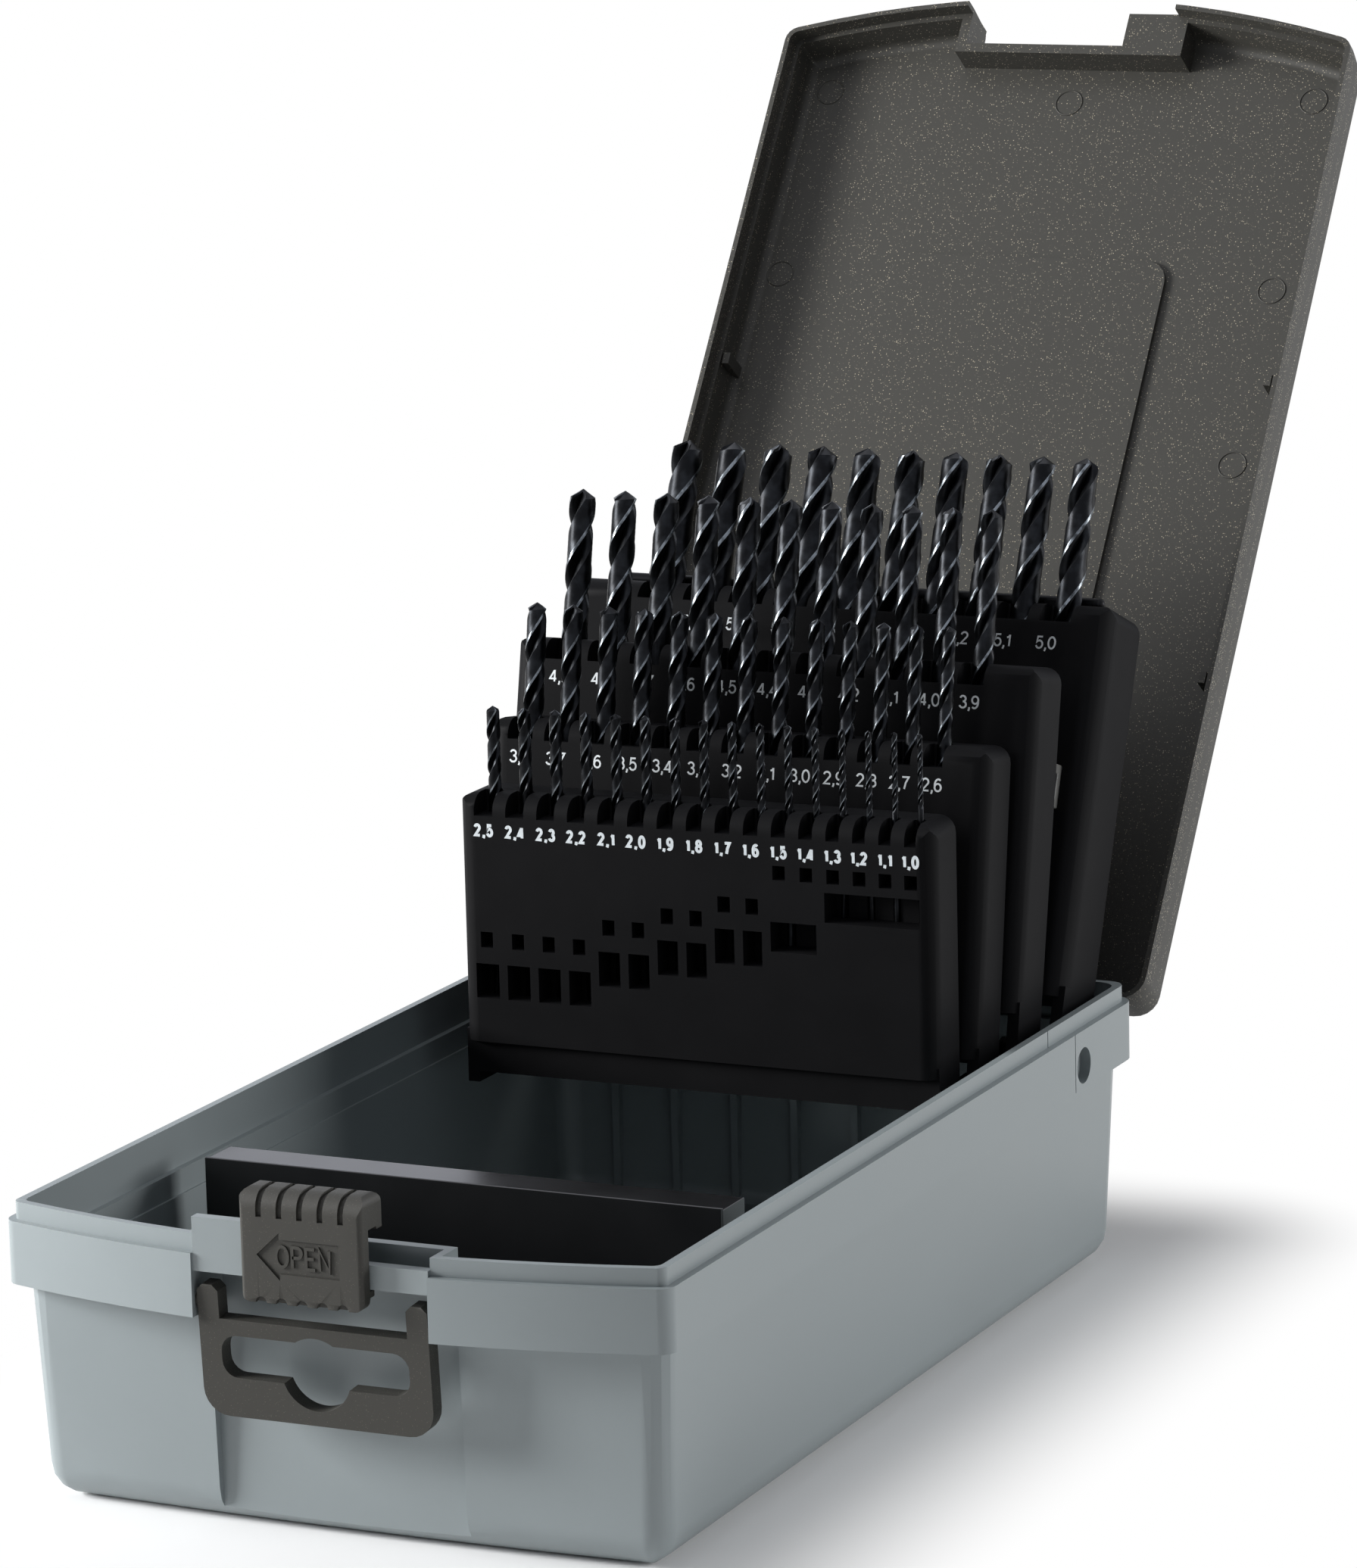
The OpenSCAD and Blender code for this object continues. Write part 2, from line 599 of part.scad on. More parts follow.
// How far forward a tongue reaches from the axle's plane
function link_far(k) = rack_front(k) + link_h[k] * sin(link_turn(k)) + link_hook;
module link_room(k) {
    next = k + 1;
    translate([link_x(next) - link_play, 0, 0]) rotate([90, 0, 90]) linear_extrude(link_t + 2 * link_play)
        polygon(link_outline(next, -link_play, rack_back(k) - cut, link_far(next) + link_play));
}
module rack(k) {
    color(rack_colour) place_rack(k) difference() {
        union() {
            difference() {
                rack_block(k);
                back_pockets(k);
            }
            rack_arms(k);
        }
        for (i = [0:drill_count[k] - 1]) socket(k, i);
        for (run = [0:len(window_runs[k]) - 1]) windows(k, run);
        if (k < 3) link_room(k);
        translate([-half_w, 0, 0]) rotate([0, 90, 0])
            cylinder(d = axle_d + 2 * pin_play, h = case_w, $fn = bore_fn);
    }
}
module rack_1() { rack(0); }
module rack_2() { rack(1); }
module rack_3() { rack(2); }
module rack_4() {
    rack(3);
    color(rack_colour) place_rack(3) rod_clips();
}
module rack_axle() {
    color(steel_colour) translate([-axle_l / 2, axle_y, axle_z]) rotate([0, 90, 0])
        cylinder(d = axle_d, h = axle_l, $fn = bore_fn);
}
rod_half = 48;
rod_play = 0.02;
rod_y = -rack_back(3) - 5.7;
rod_z = rack_top[3] + 1.6;
module rod_clips() {
    clip_w = 4;
    for (x = [-40, 0, 40]) translate([x - clip_w / 2, 0, 0]) difference() {
        translate([0, rod_y - rod_d / 2 - 1, rack_top[3] - 0.5])
            cube([clip_w, rod_d + 2, rod_z - rack_top[3] + 0.5]);
        translate([-cut, rod_y, rod_z]) rotate([0, 90, 0])
            cylinder(d = rod_d + 2 * rod_play, h = clip_w + 2 * cut, $fn = 32);
    }
}
module rack_rod() {
    color("#1c1c1d") place_rack(3) translate([0, rod_y, rod_z]) {
        translate([-rod_half, 0, 0]) rotate([0, 90, 0]) cylinder(d = rod_d, h = 2 * rod_half, $fn = 32);
        for (side = [-1, 1]) translate([side * rod_half, 0, 0]) sphere(d = rod_d, $fn = 32);
    }
}
// A link is a slice of a ring round the axle, fixed to rack k and reaching into the rack before it
module spread_link(k) {
    rail = 1.8;
    color("#9a9a98") place_rack(k) translate([link_x(k), 0, 0]) rotate([90, 0, 90]) linear_extrude(link_t)
        difference() {
            polygon(link_outline(k, 0, rack_front(k), link_far(k)));
            polygon(link_outline(k, rail, rack_front(k) + rail, link_far(k) - rail));
        }
}
// The edge of a link, drawn in by step_in, between two distances in front of the axle
function link_outline(k, step_in, near, far) =
    let (face = rack_front(k), out = sqrt(pow(link_h[k] + link_tall[k] / 2, 2) + face * face) - step_in,
        in = sqrt(pow(link_h[k] - link_tall[k] / 2, 2) + face * face) + step_in)
    concat([for (i = [0:4]) let (p = near + (far - near) * i / 4) [-p, sqrt(out * out - p * p)]],
        [for (i = [4:-1:0]) let (p = near + (far - near) * i / 4) [-p, sqrt(in * in - p * p)]]);
module spread_link_1_2() { spread_link(1); }
module spread_link_2_3() { spread_link(2); }
module spread_link_3_4() { spread_link(3); }

// Twist drills: shank, fluted body with a right-hand twist, and a blunt cone point

land = 0.92;
web = 0.36;
point_angle = 118;
lead_per_d = 5;
body_share = 0.985;
flute_steps = 13;
chisel = 0.14;
// Half a turn of the cut through the flutes: [angle, share of the radius] from one land to the next
half_section = [[0, 1], [38, land], [105, web]];
function flute_ring(d, z, turn, share) =
    [for (half = [0, 180]) for (s = half_section)
        let (r = s[1] * share * body_share * d / 2, a = s[0] + half + turn) [r * cos(a), r * sin(a), z]];
// A closed skin over a stack of rings that all have the same number of points
module ring_skin(rings) {
    n = len(rings[0]);
    last = len(rings) - 1;
    polyhedron([for (ring = rings) for (p = ring) p],
        concat([[for (i = [0:n - 1]) i]], [[for (i = [n - 1:-1:0]) last * n + i]],
            [for (j = [0:last - 1]) for (i = [0:n - 1]) [j * n + i, (j + 1) * n + i,
                (j + 1) * n + (i + 1) % n]],
            [for (j = [0:last - 1]) for (i = [0:n - 1]) [j * n + i, (j + 1) * n + (i + 1) % n,
                j * n + (i + 1) % n]]));
}
module twist_drill(d) {
    long = drill_l(d);
    point = d / 2 / tan(point_angle / 2);
    shank = long - flute_l(d);
    sunk = 0.3;
    body = flute_l(d) - point + sunk;
    twist = 360 * body / (lead_per_d * d);
    cylinder(d = d, h = shank, $fn = 24);
    ring_skin(concat(
        [for (j = [0:flute_steps]) flute_ring(d, shank - sunk + body * j / flute_steps,
            twist * j / flute_steps, 1)],
        [flute_ring(d, long, twist, chisel)]));
}
module seated(k, i) {
    color(drill_colour) place_rack(k) translate([drill_x(k, i), drill_y(k), seat_h(k, i)])
        rotate(37 * i) twist_drill(size_at(k, i));
}
// The drill of a given size, in tenths of a millimetre
module drill(tenths) {
    k = tenths <= 25 ? 0 : tenths <= 38 ? 1 : tenths <= 49 ? 2 : 3;
    seated(k, round(biggest[k] * 10) - tenths);
}

base_tray();
lid();
latch_slide();
hanger();
stop_bar();
rack_axle();
hinge_pin_left();
hinge_pin_right();
rack_1();
rack_2();
rack_3();
rack_4();
spread_link_1_2();
spread_link_2_3();
spread_link_3_4();
rack_rod();
drill(10);  // drill_1_0
drill(11);  // drill_1_1
union() { drill(12); drill(13); }  // drills_1_2_and_1_3
union() { drill(14); drill(15); }  // drills_1_4_and_1_5
union() { drill(16); drill(17); }  // drills_1_6_and_1_7
union() { drill(18); drill(19); }  // drills_1_8_and_1_9
union() { drill(20); drill(21); }  // drills_2_0_and_2_1
union() { drill(22); drill(23); }  // drills_2_2_and_2_3
union() { drill(24); drill(25); }  // drills_2_4_and_2_5
drill(26);  // drill_2_6
drill(27);  // drill_2_7
drill(28);  // drill_2_8
drill(29);  // drill_2_9
drill(30);  // drill_3_0
drill(31);  // drill_3_1
drill(32);  // drill_3_2
drill(33);  // drill_3_3
drill(34);  // drill_3_4
drill(35);  // drill_3_5
drill(36);  // drill_3_6
drill(37);  // drill_3_7
drill(38);  // drill_3_8
drill(39);  // drill_3_9
drill(40);  // drill_4_0
drill(41);  // drill_4_1
drill(42);  // drill_4_2
drill(43);  // drill_4_3
drill(44);  // drill_4_4
drill(45);  // drill_4_5
drill(46);  // drill_4_6
drill(47);  // drill_4_7
drill(48);  // drill_4_8
drill(49);  // drill_4_9
drill(50);  // drill_5_0
drill(51);  // drill_5_1
drill(52);  // drill_5_2
drill(53);  // drill_5_3
drill(54);  // drill_5_4
drill(55);  // drill_5_5
drill(56);  // drill_5_6
drill(57);  // drill_5_7
drill(58);  // drill_5_8
drill(59);  // drill_5_9
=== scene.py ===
import json
import math

import bpy
import numpy as np
from mathutils import Matrix, Vector


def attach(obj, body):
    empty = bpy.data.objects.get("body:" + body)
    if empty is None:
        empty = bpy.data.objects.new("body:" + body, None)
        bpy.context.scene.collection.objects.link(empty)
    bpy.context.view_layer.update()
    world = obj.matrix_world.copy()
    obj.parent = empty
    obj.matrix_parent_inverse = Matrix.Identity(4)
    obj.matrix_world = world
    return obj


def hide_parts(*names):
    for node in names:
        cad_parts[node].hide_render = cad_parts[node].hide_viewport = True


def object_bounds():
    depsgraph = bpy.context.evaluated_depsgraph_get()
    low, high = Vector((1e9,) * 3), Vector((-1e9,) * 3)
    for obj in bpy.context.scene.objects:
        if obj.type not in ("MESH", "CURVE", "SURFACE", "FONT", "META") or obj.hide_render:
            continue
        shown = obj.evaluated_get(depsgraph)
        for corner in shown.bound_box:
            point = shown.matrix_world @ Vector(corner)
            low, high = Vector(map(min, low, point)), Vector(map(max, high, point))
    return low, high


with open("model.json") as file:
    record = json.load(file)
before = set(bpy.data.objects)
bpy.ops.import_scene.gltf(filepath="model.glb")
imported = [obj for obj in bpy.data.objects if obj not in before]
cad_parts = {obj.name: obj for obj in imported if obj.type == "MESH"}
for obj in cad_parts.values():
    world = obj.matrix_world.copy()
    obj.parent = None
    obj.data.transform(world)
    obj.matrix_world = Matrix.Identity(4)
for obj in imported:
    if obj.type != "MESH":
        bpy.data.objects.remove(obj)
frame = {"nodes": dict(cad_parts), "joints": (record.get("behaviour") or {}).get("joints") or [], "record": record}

bl_info = {
    "name": "Drill Bit Case",
    "version": (1, 0, 0),
    "blender": (4, 5, 0),
    "location": "View3D > Sidebar > Drill Case",
    "description": "Finishes, fluted drills, printed sizes and a studio for a folding drill case",
    "category": "Object",
}

CAD_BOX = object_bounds()
MM = 0.001
NODES = frame["nodes"]
RACKS = ("rack_1", "rack_2", "rack_3", "rack_4")
LINKS = ("spread_link_1_2", "spread_link_2_3", "spread_link_3_4")
SIDEBAR = "Drill Case"

# How many times as long as wide the scratches on drawn wire are
SCRATCH_STRETCH = 40

# Edges of the moulded and drawn pieces: what is welded first, and the angle that counts as an edge
WELD_REACH = 0.001 * MM
EDGE_ANGLE = math.radians(32)
# How much more the hanger's edges are rounded than the others
HANGER_ROUNDING = 1.6

# The drill's section: where the flute is deepest, as a share of it, and how its two walls curve
FLUTE_FLOOR = 0.36
LIP_WALL_CURVE = 0.7
HEEL_WALL_CURVE = 1.25
# The drill along its length, in diameters
RUN_OUT = 1.2
SHANK_CHAMFER = 0.08
RINGS_PER_LEAD = 40
# Rings of the point inside its lips, as shares of the section
POINT_SHARES = (0.75, 0.5, 0.25, 0.06)
# How much the point falls away behind its lips for each radian, as a share of the radius
LIP_CLEARANCE = 0.15
# Edges of a drill sharper than this stay sharp
CRISP_ANGLE = math.radians(38)
# The flutes' share of a drill's length: its start, what each millimetre of diameter adds, and up to which
FLUTE_SHARE = 0.35
FLUTE_SHARE_PER_MM = 0.045
FLUTE_SHARE_TOP = 6.0
# How far each drill is turned in its socket, for each tenth of a millimetre of its size
SOCKET_TURN = math.radians(73)
# Rows of a drill's faces that keep the plain skin: its chamfer, its shank and the start of its flutes
SHANK_LEVELS = 3

# Distance from each rack's top down to the middle of its sizes, in millimetres
LABEL_DROPS = (6.5, 7.0, 7.0, 10.1)
# How far apart characters stand, as a share of their height
LETTER_GAP = 0.07
# The longest corner of a stroke, in half stroke widths, and the least sum of two directions that counts
MITRE_LIMIT = 1.9
LEAST_SUM = 0.01
# Degrees of turn in each step of a curved stroke
ARC_STEP = 18
INK_DEPTH = 0.03 * MM
# The tops of strokes that cross differ by this share of their height, so that no two lie in one plane
TOP_STEP = 0.04
# Depth of the arrow's recess in the latch slide, how far its word stays below the face, and its middle
ARROW_DEPTH = 0.35 * MM
WORD_SINK = 0.05 * MM
ARROW_MIDDLE = (0.35 * MM, 49.7 * MM)

# Underside of the closed lid's top, the ejector pins' places on it in millimetres, and their marks
LID_CEILING = 58 * MM
EJECTOR_PLACES = (
    (-52, -92.9),
    (0, -91.6),
    (51, -93.2),
    (-53, -51.1),
    (-1, -51.1),
    (51, -51.1),
    (50.8, -13.2),
)
EJECTOR_RADIUS = 2.75 * MM
EJECTOR_RIM = 0.16 * MM

# Soft lamps: name, place, what it points at, size in metres, power in watts
LAMPS = (
    ("key_softbox", (-1.1, -0.44, 0.42), (-0.02, -0.05, 0.06), 0.45, 33),
    ("side_softbox", (1.1, 0.6, 0.4), (0.05, 0.0, 0.03), 0.5, 10),
    ("top_softbox", (-0.2, -0.3, 1.4), (0, 0, 0.05), 0.9, 3.5),
)
# Strength of the world for rays that light the case
ROOM_LIGHT = 0.1
# Half of the floor's width, how far it lies under the case, and how far from the case it turns white
FLOOR_HALF = 4.0
FLOOR_DROP = 0.2 * MM
SHADOW_REACH = 0.045
# The camera's place, its turn in degrees, the shift that frames the case, and the nearest thing it shows
CAMERA_PLACE = (0.4839, -0.9995, 0.3361)
CAMERA_TURN = (78.12, 1.416, 24.869)
CAMERA_SHIFT = (0.0061, 0.0051)
CAMERA_NEAR = 0.05


# Rack measures, read from the frame


def joint_named(name):
    """The frame's joint of that name."""
    return next(joint for joint in frame["joints"] if joint["name"] == name)


def rack_lean(rack):
    """How far a rack leans back from upright: its fold goes past a right angle by that much."""
    return math.radians(joint_named(rack + "_fold")["range_deg"][1] - 90)


def rack_place(rack):
    """Turns a rack's own axes (X across, Y back, Z up from the axle) into the frame's."""
    axle = Vector(joint_named(rack + "_fold")["pos_m"])
    return Matrix.Translation(axle) @ Matrix.Rotation(-rack_lean(rack), 4, "X")


def corners(node):
    """The vertices of a CAD node, one to a row."""
    found = np.empty(len(NODES[node].data.vertices) * 3)
    NODES[node].data.vertices.foreach_get("co", found)
    return found.reshape(-1, 3)


def in_rack_axes(rack, points):
    """Points of the frame in a rack's own axes."""
    back = np.array(rack_place(rack).inverted())
    return points @ back[:3, :3].T + back[:3, 3]


def drills_in(rack):
    """The rack's drills from left to right: node, size in tenths of a millimetre, vertices in rack axes."""
    found = []
    for node in frame["record"]["behaviour"]["bodies"][rack]:
        if not node.startswith("drill"):
            continue
        numbers = [int(word) for word in node.split("_") if word.isdigit()]
        sizes = [10 * whole + tenth for whole, tenth in zip(numbers[::2], numbers[1::2])]
        points = in_rack_axes(rack, corners(node))
        middle = (points[:, 0].min() + points[:, 0].max()) / 2
        for size in sizes:
            mine = points
            if len(sizes) == 2:
                on_the_left = size == max(sizes)
                mine = points[(points[:, 0] < middle) == on_the_left]
            found.append((node, size, mine))
    return sorted(found, key=lambda drill: -drill[1])


# Materials


def linear(hex_colour):
    """An sRGB hex colour as linear red, green, blue and alpha."""
    parts = [int(hex_colour[i : i + 2], 16) / 255 for i in (1, 3, 5)]
    return (*[p / 12.92 if p <= 0.04045 else ((p + 0.055) / 1.055) ** 2.4 for p in parts], 1.0)


def add_node(tree, kind, settings=None, **links):
    """Adds a node with its settings and links.

    A setting is an attribute, or a socket by name or number. A link is to a socket by name, or by number
    after one letter, as in s0.
    """
    node = tree.nodes.new("ShaderNode" + kind)
    for name, value in (settings or {}).items():
        if isinstance(name, str) and hasattr(node, name):
            setattr(node, name, value)
        else:
            node.inputs[name].default_value = value
    for name, source in links.items():
        socket = node.inputs[int(name[1:])] if name[1:].isdigit() else node.inputs[name.replace("_", " ")]
        tree.links.new(source, socket)
    return node


def new_material(name, settings):
    """A material with a Principled surface: returns it with its node tree and shader."""
    material = bpy.data.materials.new(name)
    material.use_nodes = True
    shader = material.node_tree.nodes["Principled BSDF"]
    for socket, value in settings.items():
        shader.inputs[socket].default_value = value
    return material, material.node_tree, shader


def shaded(colour, share):
    """A colour with its light scaled by a share."""
    return [share * part for part in colour[:3]] + [1]


def pattern_scale(size_mm):
    """The scale at which one cell of a pattern is that many millimetres wide."""
    return 1 / (size_mm * MM)


def add_grain(tree, shader, place, size_mm, height_mm, strength):
    """The fine grain of a spark-eroded mould, as bump, with its cells about as wide as the size."""
    noise = add_node(
        tree,
        "TexNoise",
        {"Scale": pattern_scale(size_mm), "Detail": 3.0, "Roughness": 0.6},
        Vector=place,
    )
    bump = add_node(
        tree,
        "Bump",
        {"Strength": strength, "Distance": height_mm * MM},
        Height=noise.outputs["Fac"],
    )
    tree.links.new(bump.outputs["Normal"], shader.inputs["Normal"])


def moulded_polypropylene(colour):
    """Polypropylene from a finely eroded mould: soft sheen, faint clouds where the melt met the steel."""
    material, tree, shader = new_material("moulded_blue_grey_polypropylene", {"IOR": 1.49})
    place = add_node(tree, "TexCoord").outputs["Object"]
    clouds = add_node(tree, "TexNoise", {"Scale": pattern_scale(38), "Detail": 3.0}, Vector=place)
    tint = add_node(tree, "ValToRGB", None, Fac=clouds.outputs["Fac"])
    tint.color_ramp.elements[0].position = 0.3
    tint.color_ramp.elements[0].color = shaded(colour, 0.95)
    tint.color_ramp.elements[1].position = 0.7
    tint.color_ramp.elements[1].color = colour
    tree.links.new(tint.outputs["Color"], shader.inputs["Base Color"])
    sheen = add_node(
        tree,
        "MapRange",
        {"From Min": 0.3, "From Max": 0.7, "To Min": 0.36, "To Max": 0.46},
        Value=clouds.outputs["Fac"],
    )
    tree.links.new(sheen.outputs["Result"], shader.inputs["Roughness"])
    add_grain(tree, shader, place, size_mm=0.35, height_mm=0.012, strength=0.6)
    return material


def flecked_abs(name, colour, fleck, share, cell_mm):
    """ABS from a coarsely eroded mould: a share of its grains, one to a cell, are pale and glossy.

    The real grains are finer: they are drawn as coarse as they need to be to show.
    """
    material, tree, shader = new_material(name, {"IOR": 1.54, "Specular IOR Level": 0.25})
    place = add_node(tree, "TexCoord").outputs["Object"]
    cells = add_node(tree, "TexVoronoi", {"Scale": pattern_scale(cell_mm)}, Vector=place)
    near = add_node(
        tree,
        "MapRange",
        {"From Min": 0.16, "From Max": 0.32, "To Min": 1.0, "To Max": 0.0},
        Value=cells.outputs["Distance"],
    )
    lottery = add_node(tree, "SeparateColor", None, Color=cells.outputs["Color"])
    chosen = add_node(
        tree,
        "MapRange",
        {"From Min": 1.0 - share, "From Max": 1.0, "To Min": 0.0, "To Max": 1.0},
        Value=lottery.outputs["Red"],
    )
    amount = add_node(
        tree,
        "Math",
        {"operation": "MULTIPLY"},
        s0=near.outputs["Result"],
        s1=chosen.outputs["Result"],
    )
    mixed = add_node(
        tree,
        "Mix",
        {"data_type": "RGBA", 6: colour, 7: fleck},
        Factor=amount.outputs["Value"],
    )
    tree.links.new(mixed.outputs[2], shader.inputs["Base Color"])
    gloss = add_node(
        tree,
        "MapRange",
        {"To Min": 0.55, "To Max": 0.24},
        Value=amount.outputs["Value"],
    )
    tree.links.new(gloss.outputs["Result"], shader.inputs["Roughness"])
    add_grain(tree, shader, place, size_mm=0.45, height_mm=0.03, strength=0.8)
    return material


def moulded_black_abs(colour):
    """Black ABS with a matt eroded grain that scatters a weak grey sheen."""
    material, tree, shader = new_material(
        "moulded_black_abs", {"IOR": 1.54, "Specular IOR Level": 0.04}
    )
    place = add_node(tree, "TexCoord").outputs["Object"]
    patches = add_node(tree, "TexNoise", {"Scale": pattern_scale(9), "Detail": 4.0}, Vector=place)
    rubbed = add_node(
        tree,
        "Mix",
        {"data_type": "RGBA", 6: colour, 7: shaded(colour, 1.5)},
        Factor=patches.outputs["Fac"],
    )
    tree.links.new(rubbed.outputs[2], shader.inputs["Base Color"])
    sheen = add_node(tree, "MapRange", {"To Min": 0.5, "To Max": 0.62}, Value=patches.outputs["Fac"])
    tree.links.new(sheen.outputs["Result"], shader.inputs["Roughness"])
    add_grain(tree, shader, place, size_mm=0.3, height_mm=0.015, strength=0.6)
    return material


def polished_black_styrene(colour):
    """Polystyrene from a polished mould: near black, with a clear wavy reflection."""
    material, tree, shader = new_material(
        "polished_black_polystyrene", {"Base Color": colour, "IOR": 1.59}
    )
    place = add_node(tree, "TexCoord").outputs["Object"]
    smears = add_node(tree, "TexNoise", {"Scale": pattern_scale(14), "Detail": 3.0}, Vector=place)
    sheen = add_node(tree, "MapRange", {"To Min": 0.14, "To Max": 0.3}, Value=smears.outputs["Fac"])
    tree.links.new(sheen.outputs["Result"], shader.inputs["Roughness"])
    add_grain(tree, shader, place, size_mm=6, height_mm=0.02, strength=0.3)
    return material


def moulded_acetal(colour):
    """Acetal, moulded: waxy light grey links."""
    material, tree, shader = new_material("moulded_grey_acetal", {"Base Color": colour, "IOR": 1.48})
    place = add_node(tree, "TexCoord").outputs["Object"]
    wax = add_node(tree, "TexNoise", {"Scale": pattern_scale(3), "Detail": 2.0}, Vector=place)
    sheen = add_node(tree, "MapRange", {"To Min": 0.3, "To Max": 0.45}, Value=wax.outputs["Fac"])
    tree.links.new(sheen.outputs["Result"], shader.inputs["Roughness"])
    return material


def drawn_steel(name, colour, roughness, draw_mm):
    """Drawn steel wire: fine scratches run along it, which is across the case."""
    material, tree, shader = new_material(name, {"Base Color": colour, "Metallic": 1.0})
    along = pattern_scale(SCRATCH_STRETCH * draw_mm)
    across = pattern_scale(draw_mm)
    stretched = add_node(
        tree,
        "Mapping",
        {"Scale": (along, across, across)},
        Vector=add_node(tree, "TexCoord").outputs["Object"],
    )
    scratches = add_node(
        tree, "TexNoise", {"Scale": 1.0, "Detail": 2.0}, Vector=stretched.outputs["Vector"]
    )
    dull = add_node(
        tree,
        "MapRange",
        {"To Min": roughness - 0.08, "To Max": roughness + 0.12},
        Value=scratches.outputs["Fac"],
    )
    tree.links.new(dull.outputs["Result"], shader.inputs["Roughness"])
    return material


def steam_blackened_steel(colour, rubbed_colour):
    """High-speed steel with a steam oxide skin: near black, soft gloss, rubbed greyer in patches."""
    material, tree, shader = new_material("steam_blackened_high_speed_steel", {"Metallic": 0.9})
    place = add_node(tree, "TexCoord").outputs["Object"]
    patches = add_node(tree, "TexNoise", {"Scale": pattern_scale(2.2), "Detail": 4.0}, Vector=place)
    ramp = add_node(tree, "ValToRGB", None, Fac=patches.outputs["Fac"])
    ramp.color_ramp.elements[0].position = 0.42
    ramp.color_ramp.elements[0].color = colour
    ramp.color_ramp.elements[1].position = 0.72
    ramp.color_ramp.elements[1].color = rubbed_colour
    tree.links.new(ramp.outputs["Color"], shader.inputs["Base Color"])
    gloss = add_node(tree, "MapRange", {"To Min": 0.3, "To Max": 0.42}, Value=patches.outputs["Fac"])
    tree.links.new(gloss.outputs["Result"], shader.inputs["Roughness"])
    add_grain(tree, shader, place, size_mm=0.12, height_mm=0.003, strength=0.4)
    return material


def rubbed_and_highlit_margin_steel(colour):
    """The drills' margins, where the black skin is rubbed thin: paler, with dark remains of it. The paleness is
    partly a painted highlight for the bright helical streaks of light along them.
    """
    material, tree, shader = new_material("rubbed_high_speed_steel_painted_highlight", {"Metallic": 0.9, "Roughness": 0.3})
    place = add_node(tree, "TexCoord").outputs["Object"]
    remains = add_node(tree, "TexNoise", {"Scale": pattern_scale(1.6), "Detail": 3.0}, Vector=place)
    ramp = add_node(tree, "ValToRGB", None, Fac=remains.outputs["Fac"])
    ramp.color_ramp.elements[0].position = 0.38
    ramp.color_ramp.elements[0].color = shaded(colour, 0.2)
    ramp.color_ramp.elements[1].position = 0.6
    ramp.color_ramp.elements[1].color = colour
    tree.links.new(ramp.outputs["Color"], shader.inputs["Base Color"])
    return material


def printed_ink(name, colour):
    """Pad-printed ink: thin and matt, paler where it lies thicker."""
    material, tree, shader = new_material(name, {"Roughness": 0.55})
    place = add_node(tree, "TexCoord").outputs["Object"]
    cover = add_node(tree, "TexNoise", {"Scale": pattern_scale(0.7), "Detail": 2.0}, Vector=place)
    tint = add_node(
        tree,
        "Mix",
        {"data_type": "RGBA", 6: shaded(colour, 0.7), 7: colour},
        Factor=cover.outputs["Fac"],
    )
    tree.links.new(tint.outputs[2], shader.inputs["Base Color"])
    return material


# Making pieces


def new_piece(name, mesh, material, body):
    """An object with that mesh and material, which rides on a CAD body."""
    piece = bpy.data.objects.new(name, mesh)
    bpy.context.scene.collection.objects.link(piece)
    mesh.materials.append(material)
    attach(piece, body)
    return piece


def finish_cad(node, material, edge):
    """Gives a CAD node its finish and rounds its edges a little."""
    shown = NODES[node]
    shown.data.materials.clear()
    shown.data.materials.append(material)
    for face in shown.data.polygons:
        face.use_smooth = True
    weld = shown.modifiers.new("weld", "WELD")
    weld.merge_threshold = WELD_REACH
    bevel = shown.modifiers.new("edge_rounding", "BEVEL")
    bevel.width = edge
    bevel.segments = 2
    bevel.limit_method = "ANGLE"
    bevel.angle_limit = EDGE_ANGLE
    bevel.harden_normals = True
    shown.modifiers.new("flat_faces_stay_flat", "WEIGHTED_NORMAL")


# Settings


class MouldedColours(bpy.types.PropertyGroup):
    tray: bpy.props.StringProperty(
        name="Tray", description="sRGB hex colour of the tray", default="#868E90"
    )
    shell: bpy.props.StringProperty(
        name="Lid",
        description="sRGB hex colour of the lid, the latch and the hanger",
        default="#363531",
    )
    fleck: bpy.props.StringProperty(
        name="Flecks", description="sRGB hex colour of the lid's flecks", default="#C2B8A2"
    )
    plain_fleck: bpy.props.StringProperty(
        name="Latch grain",
        description="sRGB hex colour of the grain on the latch and the hanger",
        default="#5A564F",
    )
    rack: bpy.props.StringProperty(
        name="Racks", description="sRGB hex colour of the racks", default="#0D0D0E"
    )
    bar: bpy.props.StringProperty(
        name="Stop bar", description="sRGB hex colour of the stop bar", default="#0E0E0F"
    )
    link: bpy.props.StringProperty(
        name="Links", description="sRGB hex colour of the spreader links", default="#5E5E5C"
    )
    pins: bpy.props.StringProperty(
        name="Hinge pins", description="sRGB hex colour of the bright wire", default="#C4C6C8"
    )
    rod: bpy.props.StringProperty(
        name="Axle and rod",
        description="sRGB hex colour of the blackened wire",
        default="#1A1A1B",
    )
    edge: bpy.props.FloatProperty(
        name="Edge rounding",
        description="Radius of moulded edges",
        default=0.25 * MM,
        min=0.05 * MM,
        max=0.5 * MM,
        precision=5,
        subtype="DISTANCE",
    )


